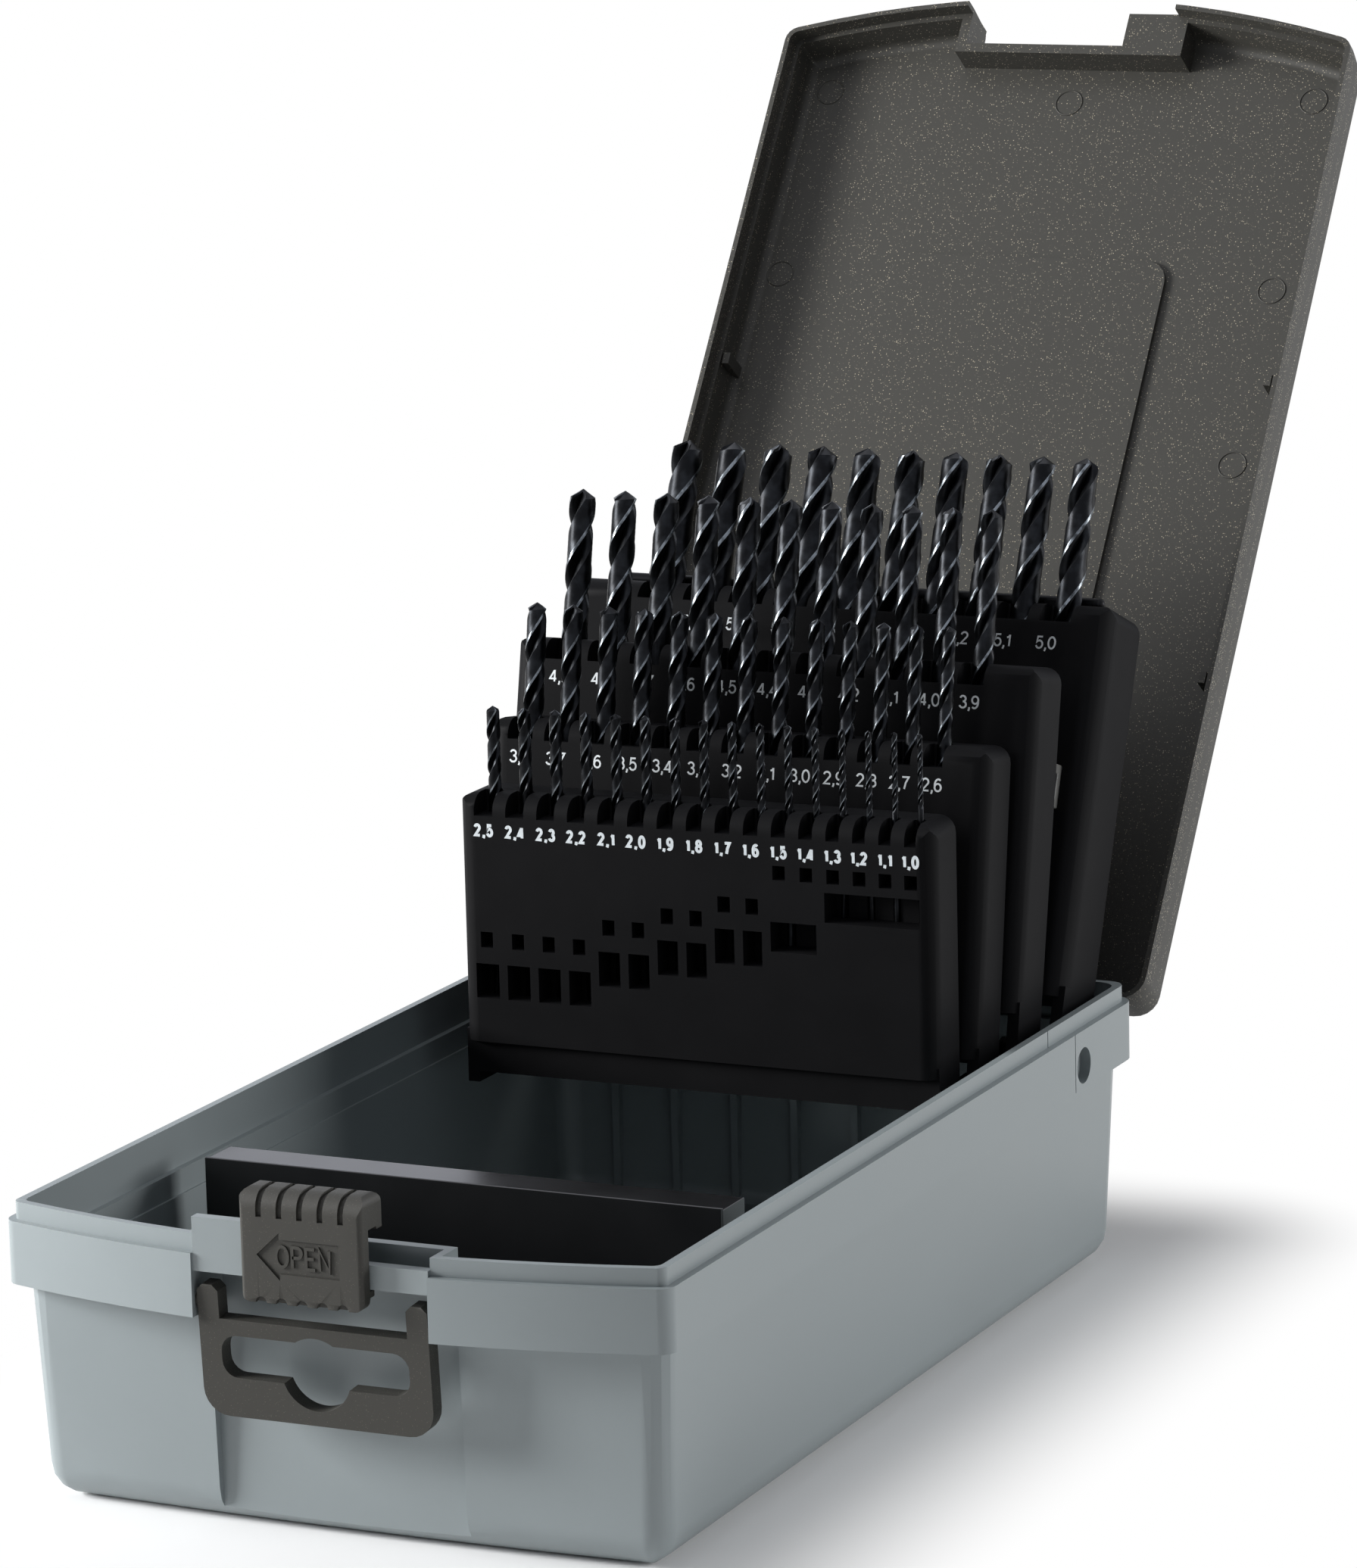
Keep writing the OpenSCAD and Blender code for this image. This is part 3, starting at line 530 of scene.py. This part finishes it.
class DrillShape(bpy.types.PropertyGroup):
    lead: bpy.props.FloatProperty(
        name="Lead", description="Lead of the flutes in diameters", default=5.0, min=4.0, max=8.0
    )
    land: bpy.props.FloatProperty(
        name="Land",
        description="Angle that each land covers",
        default=math.radians(106),
        subtype="ANGLE",
    )
    margin: bpy.props.FloatProperty(
        name="Margin",
        description="Angle that each margin covers",
        default=math.radians(14),
        subtype="ANGLE",
    )
    relief: bpy.props.FloatProperty(
        name="Body clearance",
        description="Radius behind the margin, as a share of the drill's",
        default=0.94,
        min=0.8,
        max=1.0,
        subtype="FACTOR",
    )
    web: bpy.props.FloatProperty(
        name="Web",
        description="Radius at the bottom of a flute, as a share of the drill's",
        default=0.3,
        min=0.1,
        max=0.6,
        subtype="FACTOR",
    )
    point: bpy.props.FloatProperty(
        name="Point",
        description="Angle between the two lips",
        default=math.radians(118),
        subtype="ANGLE",
    )
    steel: bpy.props.StringProperty(
        name="Steel", description="sRGB hex colour of the blackened steel", default="#101113"
    )
    rubbed: bpy.props.StringProperty(
        name="Rubbed steel", description="sRGB hex colour of rubbed places", default="#202225"
    )
    # The margins' colour is partly rubbed steel and partly a painted highlight that stands in for streaks of light
    worn_and_highlight: bpy.props.StringProperty(
        name="Margins",
        description="sRGB hex colour of the margins, rubbed the most and lit by a painted highlight",
        default="#7A8085",
    )
    steps: bpy.props.IntProperty(
        name="Steps",
        description="Number of steps in each of the flute's curves",
        default=6,
        min=4,
        max=12,
    )


class Lettering(bpy.types.PropertyGroup):
    height: bpy.props.FloatProperty(
        name="Height",
        description="Height of the printed sizes",
        default=2.45 * MM,
        min=1.5 * MM,
        max=4.0 * MM,
        precision=5,
        subtype="DISTANCE",
    )
    weight: bpy.props.FloatProperty(
        name="Weight",
        description="Stroke width as a share of the height",
        default=0.135,
        min=0.05,
        max=0.3,
        subtype="FACTOR",
    )
    bold: bpy.props.FloatProperty(
        name="Bold weight",
        description="Stroke width on the front rack, as a share of the height",
        default=0.22,
        min=0.05,
        max=0.3,
        subtype="FACTOR",
    )
    width: bpy.props.FloatProperty(
        name="Width",
        description="Width of the figures, as a share of their usual width",
        default=1.18,
    )
    bold_width: bpy.props.FloatProperty(
        name="Bold width", description="The same share on the front rack", default=0.96
    )
    ink: bpy.props.StringProperty(
        name="Ink", description="sRGB hex colour of the ink", default="#E0E5E8"
    )
    bold_ink: bpy.props.StringProperty(
        name="Bold ink",
        description="sRGB hex colour of the ink on the front rack",
        default="#D5DCE0",
    )
    raised: bpy.props.FloatProperty(
        name="Raised height",
        description="Height of the word on the latch",
        default=3.9 * MM,
        min=2.0 * MM,
        max=5.0 * MM,
        precision=5,
        subtype="DISTANCE",
    )


class Studio(bpy.types.PropertyGroup):
    floor: bpy.props.StringProperty(
        name="Floor", description="sRGB hex colour of the floor", default="#F4F4F4"
    )
    focal: bpy.props.FloatProperty(
        name="Focal length",
        description="Focal length of the camera",
        default=151.8,
        min=50.0,
        max=300.0,
        unit="CAMERA",
    )


# The case and its racks


class DRILLCASE_OT_shells(bpy.types.Operator):
    """Finishes the tray, the lid, the latch slide, the hanger and the stop bar"""

    bl_idname = "drillcase.shells"
    bl_label = "Finish the case"

    def execute(self, context):
        look = context.scene.case_colours
        tray = moulded_polypropylene(linear(look.tray))
        dark = linear(look.shell)
        pale = linear(look.fleck)
        shell = flecked_abs("moulded_flecked_abs", dark, pale, share=0.42, cell_mm=0.38)
        grain = linear(look.plain_fleck)
        plain = flecked_abs("moulded_plain_grain_abs", dark, grain, share=0.3, cell_mm=0.3)
        finish_cad("base_tray", tray, look.edge)
        finish_cad("lid", shell, look.edge)
        finish_cad("latch_slide", plain, look.edge)
        finish_cad("hanger", plain, HANGER_ROUNDING * look.edge)
        finish_cad("stop_bar", polished_black_styrene(linear(look.bar)), look.edge)
        return {"FINISHED"}


class DRILLCASE_OT_racks(bpy.types.Operator):
    """Finishes the racks, their links, the rod, the axle and the hinge pins"""

    bl_idname = "drillcase.racks"
    bl_label = "Finish the racks"

    def execute(self, context):
        look = context.scene.case_colours
        black = moulded_black_abs(linear(look.rack))
        for rack in RACKS:
            finish_cad(rack, black, look.edge)
        grey = moulded_acetal(linear(look.link))
        for link in LINKS:
            finish_cad(link, grey, look.edge)
        bright = drawn_steel("drawn_bright_steel", linear(look.pins), roughness=0.3, draw_mm=0.05)
        dark = drawn_steel("drawn_black_steel", linear(look.rod), roughness=0.4, draw_mm=0.05)
        for pin in ("hinge_pin_left", "hinge_pin_right"):
            finish_cad(pin, bright, look.edge)
        for rod in ("rack_axle", "rack_rod"):
            finish_cad(rod, dark, look.edge)
        return {"FINISHED"}


# Drills


def half_section(shape, steps):
    """Half of a drill's section, from heel to heel, as pairs of angle and share of the radius."""
    margin = shape.land - shape.margin
    points = [(margin * i / steps, shape.relief) for i in range(steps)]
    points += [(margin, 1.0), (shape.land - shape.margin / 2, 1.0), (shape.land, 1.0)]
    floor = shape.land + FLUTE_FLOOR * (math.pi - shape.land)
    for i in range(1, steps):
        part = i / steps
        angle = shape.land + (floor - shape.land) * part**LIP_WALL_CURVE
        points.append((angle, 1 - (1 - shape.web) * part))
    whole_rise = 1 - math.cos(math.pi / HEEL_WALL_CURVE)
    for i in range(steps):
        part = i / steps
        rise = (1 - math.cos(math.pi * part / HEEL_WALL_CURVE)) / whole_rise
        share = shape.web + (shape.relief - shape.web) * rise
        points.append((floor + (math.pi - floor) * part, share))
    return points


def drill_rings(shape, diameter, length, flute_length):
    """Rings of points from the shank's end, at z = 0, up to the chisel edge."""
    radius = diameter / 2
    half = half_section(shape, shape.steps)
    angles = np.array([angle for angle, _ in half] + [angle + math.pi for angle, _ in half])
    shares = np.array([share for _, share in half] * 2)
    lag = np.array([shape.land - angle for angle, _ in half] * 2)
    flute = math.pi - shape.land
    fall = np.where(lag >= 0, lag, (flute + lag) / flute * shape.land)
    lead = shape.lead * diameter
    shank = length - flute_length
    run_out = RUN_OUT * diameter
    slope = 1 / math.tan(shape.point / 2)

    def ring(z_values, grown):
        turn = angles + 2 * math.pi * (z_values - shank) / lead
        out = radius * grown
        return np.column_stack((out * np.cos(turn), out * np.sin(turn), z_values))

    whole = np.ones_like(shares)
    chamfer = SHANK_CHAMFER * diameter
    rings = [
        ring(0 * whole, (1 - 2 * chamfer / diameter) * whole),
        ring(chamfer * whole, whole),
        ring(shank * whole, whole),
    ]
    lip = length - radius * slope * shares - LIP_CLEARANCE * radius * shares * fall
    lowest = lip.min()
    count = int(RINGS_PER_LEAD * (lowest - shank) / lead)
    for i in range(1, count):
        z = shank + (lowest - shank) * i / count
        depth = min(1.0, (z - shank) / run_out)
        rings.append(ring(z * whole, 1 - (1 - shares) * depth * (2 - depth)))
    rings.append(ring(lip, shares))
    for share in POINT_SHARES:
        rings.append(ring(length - (length - lip) * share, shares * share))
    return rings


def skin(name, rings, worn_and_highlight_columns, shank_levels):
    """A closed mesh over a stack of rings: above the shank, the margin columns take the second material, rubbed
    steel with a painted highlight.
    """
    count = len(rings[0])
    faces = [tuple(reversed(range(count)))]
    for level in range(len(rings) - 1):
        low = level * count
        for i in range(count):
            after = (i + 1) % count
            faces.append((low + i, low + after, low + count + after, low + count + i))
    top = (len(rings) - 1) * count
    faces.append(tuple(range(top, top + count)))
    mesh = bpy.data.meshes.new(name)
    mesh.from_pydata(np.vstack(rings).tolist(), [], faces)
    place = np.arange(len(faces) - 2)
    worn_and_highlight = np.isin(place % count, worn_and_highlight_columns) & (place // count >= shank_levels)
    mesh.polygons.foreach_set("material_index", [0, *worn_and_highlight.astype(int), 0])
    for face in mesh.polygons:
        face.use_smooth = True
    mesh.set_sharp_from_angle(angle=CRISP_ANGLE)
    return mesh


def flute_length(diameter, length):
    """The length of a drill's flutes: a share of its whole length, larger for thicker drills."""
    return length * (FLUTE_SHARE + FLUTE_SHARE_PER_MM * min(FLUTE_SHARE_TOP, diameter / MM))


class DRILLCASE_OT_drills(bpy.types.Operator):
    """Puts a fluted, pointed drill in the place of each plain one"""

    bl_idname = "drillcase.drills"
    bl_label = "Make the drills"

    def execute(self, context):
        shape = context.scene.drill_shape
        steel = steam_blackened_steel(linear(shape.steel), linear(shape.rubbed))
        # The margins' pale material is partly rubbed steel and partly a painted highlight along them
        worn_and_highlight = rubbed_and_highlit_margin_steel(linear(shape.worn_and_highlight))
        section = len(half_section(shape, shape.steps))
        margin = [side + shape.steps + step for side in (0, section) for step in (0, 1)]
        for rack in RACKS:
            place = rack_place(rack)
            for node, tenths, points in drills_in(rack):
                diameter = tenths / 10 * MM
                low, high = points.min(axis=0), points.max(axis=0)
                length = high[2] - low[2]
                middle = (low + high) / 2
                name = f"twist_drill_{tenths // 10}_{tenths % 10}"
                rings = drill_rings(shape, diameter, length, flute_length(diameter, length))
                mesh = skin(name, rings, margin, SHANK_LEVELS)
                turned = Matrix.Rotation(SOCKET_TURN * tenths, 4, "Z")
                seat = Matrix.Translation(Vector((middle[0], middle[1], low[2])))
                mesh.transform(place @ seat @ turned)
                drill = new_piece(name, mesh, steel, rack)
                mesh.materials.append(worn_and_highlight)
                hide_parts(node)
        return {"FINISHED"}


# Lettering


def arc(x, y, across, up, start, end):
    """Points along part of an ellipse round (x, y), between two angles in degrees."""
    turns = np.radians(np.linspace(start, end, 2 + abs(end - start) // ARC_STEP))
    return [(x + across * math.cos(turn), y + up * math.sin(turn)) for turn in turns]


# The middle lines of each character's strokes, in a frame 1 high
STROKES = {
    "0": [arc(0.26, 0.5, 0.26, 0.5, 0, 360)],
    "1": [[(0.28, 1.0), (0.28, 0.0)], [(0.06, 0.76), (0.2, 0.81), (0.27, 0.97)]],
    "2": [[*arc(0.26, 0.73, 0.24, 0.27, 170, -30), (0.03, 0.0), (0.52, 0.0)]],
    "3": [arc(0.25, 0.76, 0.21, 0.24, 165, -90), arc(0.25, 0.27, 0.25, 0.27, 90, -165)],
    "4": [[(0.54, 0.25), (0.02, 0.25), (0.37, 0.96)], [(0.4, 1.0), (0.4, 0.0)]],
    "5": [[(0.47, 1.0), (0.11, 1.0), (0.05, 0.52), *arc(0.25, 0.33, 0.25, 0.33, 126, -162)]],
    "6": [arc(0.26, 0.31, 0.24, 0.31, 0, 360), arc(0.3, 0.5, 0.28, 0.5, 198, 54)],
    "7": [[(0.02, 1.0), (0.52, 1.0), (0.3, 0.52), (0.19, 0.0)]],
    "8": [arc(0.26, 0.76, 0.21, 0.24, 0, 360), arc(0.26, 0.27, 0.25, 0.27, 0, 360)],
    "9": [arc(0.26, 0.69, 0.24, 0.31, 0, 360), arc(0.22, 0.5, 0.28, 0.5, 18, -126)],
    ",": [[(0.06, 0.07), (0.06, -0.08), (0.0, -0.25)]],
    "O": [arc(0.31, 0.5, 0.31, 0.5, 0, 360)],
    "P": [[(0.0, 0.0), (0.0, 1.0), *arc(0.28, 0.75, 0.22, 0.25, 90, -90), (0.0, 0.5)]],
    "E": [[(0.46, 1.0), (0.0, 1.0), (0.0, 0.0), (0.48, 0.0)], [(0.0, 0.52), (0.42, 0.52)]],
    "N": [[(0.0, 0.0), (0.0, 1.0), (0.52, 0.0), (0.52, 1.0)]],
}


def stroke_sides(points, weight):
    """The two sides of a stroke along a line of points, mitred at its corners."""
    line = np.array(points)
    steps = np.diff(line, axis=0)
    steps /= np.linalg.norm(steps, axis=1)[:, None]
    closed = np.allclose(line[0], line[-1])
    before = np.vstack((steps[-1:] if closed else steps[:1], steps))
    after = np.vstack((steps, steps[:1] if closed else steps[-1:]))
    along = before + after
    length = np.linalg.norm(along, axis=1)[:, None]
    reach = np.minimum(1 / np.maximum(length / 2, LEAST_SUM), MITRE_LIMIT)
    across = np.column_stack((-along[:, 1], along[:, 0])) / np.maximum(length, LEAST_SUM)
    aside = across * reach * weight / 2
    return line + aside, line - aside


def lettering(name, words, height, weight, width, depth):
    """A word in solid strokes that stand on the XY plane, centred on the origin."""
    vertices = []
    faces = []
    pen = 0.0
    unit = height * (1 - weight)
    for number, character in enumerate(words):
        strokes = [np.array(stroke) for stroke in STROKES[character]]
        left = min(stroke[:, 0].min() for stroke in strokes)
        right = max(stroke[:, 0].max() for stroke in strokes)
        for order, stroke in enumerate(strokes):
            middle = (stroke - (left, 0.5)) * (width * unit, unit) + (pen + weight * height / 2, 0)
            top = depth * (1 - TOP_STEP * (order + 2 * (number % 2)))
            add_stroke(vertices, faces, middle, weight * height, top)
        pen += (right - left) * width * unit + weight * height + LETTER_GAP * height
    mesh = bpy.data.meshes.new(name)
    mesh.from_pydata(vertices, [], faces)
    mesh.transform(Matrix.Translation(((LETTER_GAP * height - pen) / 2, 0, 0)))
    return mesh


def add_stroke(vertices, faces, middle, weight, top):
    """Adds one stroke to a mesh: a closed bar with its top, its underside, its sides and its ends."""
    one, other = stroke_sides(middle, weight)
    first = len(vertices)
    for a, b in zip(one, other):
        vertices.extend([(*a, 0), (*b, 0), (*b, top), (*a, top)])
    for low in range(first, len(vertices) - 4, 4):
        for side in range(4):
            after = (side + 1) % 4
            faces.append((low + after, low + side, low + 4 + side, low + 4 + after))
    last = len(vertices) - 4
    faces.append((first, first + 1, first + 2, first + 3))
    faces.append((last + 3, last + 2, last + 1, last))


class DRILLCASE_OT_sizes(bpy.types.Operator):
    """Prints each drill's size under its socket"""

    bl_idname = "drillcase.sizes"
    bl_label = "Print the sizes"

    def execute(self, context):
        look = context.scene.lettering
        bold_ink = printed_ink("pad_printed_white_ink", linear(look.bold_ink))
        ink = printed_ink("pad_printed_pale_ink", linear(look.ink))
        for rack, drop in zip(RACKS, LABEL_DROPS):
            bold = rack == RACKS[0]
            points = in_rack_axes(rack, corners(rack))
            front = points[:, 1].min()
            height = points[:, 2].max() - drop * MM
            for _, tenths, drill in drills_in(rack):
                middle = (drill[:, 0].min() + drill[:, 0].max()) / 2
                words = f"{tenths // 10},{tenths % 10}"
                name = "size_" + words.replace(",", "_")
                weight = look.bold if bold else look.weight
                width = look.bold_width if bold else look.width
                mesh = lettering(name, words, look.height, weight, width, INK_DEPTH)
                upright = Matrix.Rotation(math.pi / 2, 4, "X")
                spot = Matrix.Translation(Vector((middle, front, height)))
                mesh.transform(rack_place(rack) @ spot @ upright)
                label = new_piece(name, mesh, bold_ink if bold else ink, rack)
        return {"FINISHED"}


# Moulded marks


class DRILLCASE_OT_marks(bpy.types.Operator):
    """Raises the word on the latch slide and the rings that the ejector pins left inside the lid"""

    bl_idname = "drillcase.marks"
    bl_label = "Make the moulded marks"

    def execute(self, context):
        look = context.scene.lettering
        slide = corners("latch_slide")
        middle = (slide[:, 0].min() + slide[:, 0].max()) / 2
        floor = slide[:, 1].min() + ARROW_DEPTH
        depth = ARROW_DEPTH - WORD_SINK
        mesh = lettering("latch_word", "OPEN", look.raised, look.weight, 1.0, depth)
        upright = Matrix.Rotation(math.pi / 2, 4, "X")
        spot = Matrix.Translation(Vector((middle + ARROW_MIDDLE[0], floor, ARROW_MIDDLE[1])))
        mesh.transform(spot @ upright)
        word = new_piece("latch_word", mesh, NODES["latch_slide"].data.materials[0], "latch_slide")
        hinge = joint_named("lid_hinge")
        axle = Matrix.Translation(Vector(hinge["pos_m"]))
        opened = axle @ Matrix.Rotation(math.radians(-hinge["range_deg"][1]), 4, "X") @ axle.inverted()
        for number, (x, y) in enumerate(EJECTOR_PLACES):
            mesh = ejector_ring(f"ejector_ring_{number}")
            spot = Matrix.Translation(Vector((x * MM, y * MM, LID_CEILING)))
            mesh.transform(opened @ spot @ Matrix.Rotation(math.pi, 4, "X"))
            ring = new_piece(mesh.name, mesh, NODES["lid"].data.materials[0], "lid")
        return {"FINISHED"}


def ejector_ring(name):
    """The low round-topped rim that an ejector pin leaves, standing on the XY plane."""
    turns = 40
    around = 6
    vertices = []
    for i in range(turns):
        turn = 2 * math.pi * i / turns
        for j in range(around):
            lift = math.pi * j / (around - 1)
            reach = EJECTOR_RADIUS + EJECTOR_RIM * math.cos(lift)
            height = EJECTOR_RIM * math.sin(lift)
            vertices.append((reach * math.cos(turn), reach * math.sin(turn), height))
    faces = []
    for i in range(turns):
        for j in range(around):
            low = i * around
            high = (i + 1) % turns * around
            after = (j + 1) % around
            faces.append((low + j, high + j, high + after, low + after))
    mesh = bpy.data.meshes.new(name)
    mesh.from_pydata(vertices, [], faces)
    for face in mesh.polygons:
        face.use_smooth = True
    return mesh


# Studio


class DRILLCASE_OT_stage(bpy.types.Operator):
    """Sets up the pale floor, the soft lamps and the camera"""

    bl_idname = "drillcase.stage"
    bl_label = "Set the stage"

    def execute(self, context):
        studio = context.scene.studio
        make_floor(linear(studio.floor))
        make_world()
        for name, place, aim, size, power in LAMPS:
            make_lamp(name, Vector(place), Vector(aim), size, power)
        make_camera(studio.focal)
        context.scene.view_settings.view_transform = "Standard"
        return {"FINISHED"}


def add_seen(tree):
    """1 for rays from the camera and for those that reflect or pass through, else 0."""
    path = add_node(tree, "LightPath")
    found = path.outputs["Is Camera Ray"]
    for kind in ("Is Glossy Ray", "Is Transmission Ray"):
        either = add_node(tree, "Math", {"operation": "MAXIMUM"}, s0=found, s1=path.outputs[kind])
        found = either.outputs["Value"]
    return found


def make_floor(colour):
    """A large pale floor under the case, which fades to plain white away from the case's shadow."""
    sides = ((-1, -1), (1, -1), (1, 1), (-1, 1))
    mesh = bpy.data.meshes.new("floor")
    mesh.from_pydata([(x * FLOOR_HALF, y * FLOOR_HALF, 0) for x, y in sides], [], [(0, 1, 2, 3)])
    material, tree, shader = new_material("matt_white_paper", {"Base Color": colour, "Roughness": 0.9})
    mesh.materials.append(material)
    place = add_node(tree, "TexCoord").outputs["Object"]
    spread = add_node(tree, "VectorMath", {"operation": "ABSOLUTE"}, v0=place)
    footprint = (CAD_BOX[1][0], -CAD_BOX[0][1], 0)
    past = add_node(
        tree,
        "VectorMath",
        {"operation": "SUBTRACT", 1: footprint},
        v0=spread.outputs["Vector"],
    )
    beside = add_node(
        tree,
        "VectorMath",
        {"operation": "MAXIMUM", 1: (0, 0, 0)},
        v0=past.outputs["Vector"],
    )
    away = add_node(tree, "VectorMath", {"operation": "LENGTH"}, v0=beside.outputs["Vector"])
    far = add_node(
        tree,
        "MapRange",
        {"interpolation_type": "SMOOTHSTEP", "From Min": 0.0, "From Max": SHADOW_REACH},
        Value=away.outputs["Value"],
    )
    amount = add_node(
        tree,
        "Math",
        {"operation": "MULTIPLY"},
        s0=far.outputs["Result"],
        s1=add_seen(tree),
    )
    white = add_node(tree, "Emission", {"Color": linear("#FFFFFF"), "Strength": 1.0})
    mixed = add_node(
        tree,
        "MixShader",
        None,
        i0=amount.outputs["Value"],
        i1=shader.outputs["BSDF"],
        i2=white.outputs["Emission"],
    )
    tree.links.new(mixed.outputs["Shader"], tree.nodes["Material Output"].inputs["Surface"])
    floor = bpy.data.objects.new("floor", mesh)
    floor.location.z = -FLOOR_DROP
    bpy.context.scene.collection.objects.link(floor)


def make_world():
    """A dim room round the lamps, which the camera and reflections see as white."""
    world = bpy.data.worlds.new("studio_world")
    bpy.context.scene.world = world
    world.use_nodes = True
    tree = world.node_tree
    shade = tree.nodes["Background"]
    shade.inputs["Color"].default_value = linear("#F2F5FF")
    strength = add_node(tree, "MapRange", {"To Min": ROOM_LIGHT, "To Max": 1.0}, Value=add_seen(tree))
    tree.links.new(strength.outputs["Result"], shade.inputs["Strength"])


def make_lamp(name, place, aim, size, power):
    """A square soft lamp that points at aim."""
    light = bpy.data.lights.new(name, "AREA")
    light.shape = "SQUARE"
    light.size = size
    light.energy = power
    lamp = bpy.data.objects.new(name, light)
    lamp.location = place
    lamp.rotation_mode = "QUATERNION"
    lamp.rotation_quaternion = (aim - place).to_track_quat("-Z", "Y")
    bpy.context.scene.collection.objects.link(lamp)


def make_camera(focal):
    """The camera stands a good metre off, to the right of the latch and a little above."""
    camera = bpy.data.objects.new("camera", bpy.data.cameras.new("camera"))
    camera.location = CAMERA_PLACE
    camera.rotation_euler = [math.radians(angle) for angle in CAMERA_TURN]
    camera.data.lens = focal
    camera.data.shift_x, camera.data.shift_y = CAMERA_SHIFT
    camera.data.clip_start = CAMERA_NEAR
    bpy.context.scene.collection.objects.link(camera)
    bpy.context.scene.camera = camera


# Panel and registration


class DRILLCASE_PT_panel(bpy.types.Panel):
    """Sizes and colours of the drill case, and a button for each of its groups of pieces"""

    bl_idname = "DRILLCASE_PT_panel"
    bl_label = "Drill Case"
    bl_space_type = "VIEW_3D"
    bl_region_type = "UI"
    bl_category = SIDEBAR

    def draw(self, context):
        layout = self.layout
        for name in GROUPS:
            box = layout.box()
            settings = getattr(context.scene, name)
            for key in settings.bl_rna.properties.keys():
                if key not in ("rna_type", "name"):
                    box.prop(settings, key)
        for operator in OPERATORS:
            layout.operator(operator.bl_idname)


GROUPS = {
    "case_colours": MouldedColours,
    "drill_shape": DrillShape,
    "lettering": Lettering,
    "studio": Studio,
}
OPERATORS = (
    DRILLCASE_OT_shells,
    DRILLCASE_OT_racks,
    DRILLCASE_OT_drills,
    DRILLCASE_OT_sizes,
    DRILLCASE_OT_marks,
    DRILLCASE_OT_stage,
)


def register():
    for group in GROUPS.values():
        bpy.utils.register_class(group)
    for name, group in GROUPS.items():
        setattr(bpy.types.Scene, name, bpy.props.PointerProperty(type=group))
    for part in (*OPERATORS, DRILLCASE_PT_panel):
        bpy.utils.register_class(part)


def unregister():
    for part in (DRILLCASE_PT_panel, *reversed(OPERATORS)):
        bpy.utils.unregister_class(part)
    for name, group in GROUPS.items():
        delattr(bpy.types.Scene, name)
        bpy.utils.unregister_class(group)


def main():
    register()
    bpy.ops.drillcase.shells()
    bpy.ops.drillcase.racks()
    bpy.ops.drillcase.drills()
    bpy.ops.drillcase.sizes()
    bpy.ops.drillcase.marks()
    bpy.ops.drillcase.stage()


if __name__ == "__main__":
    main()
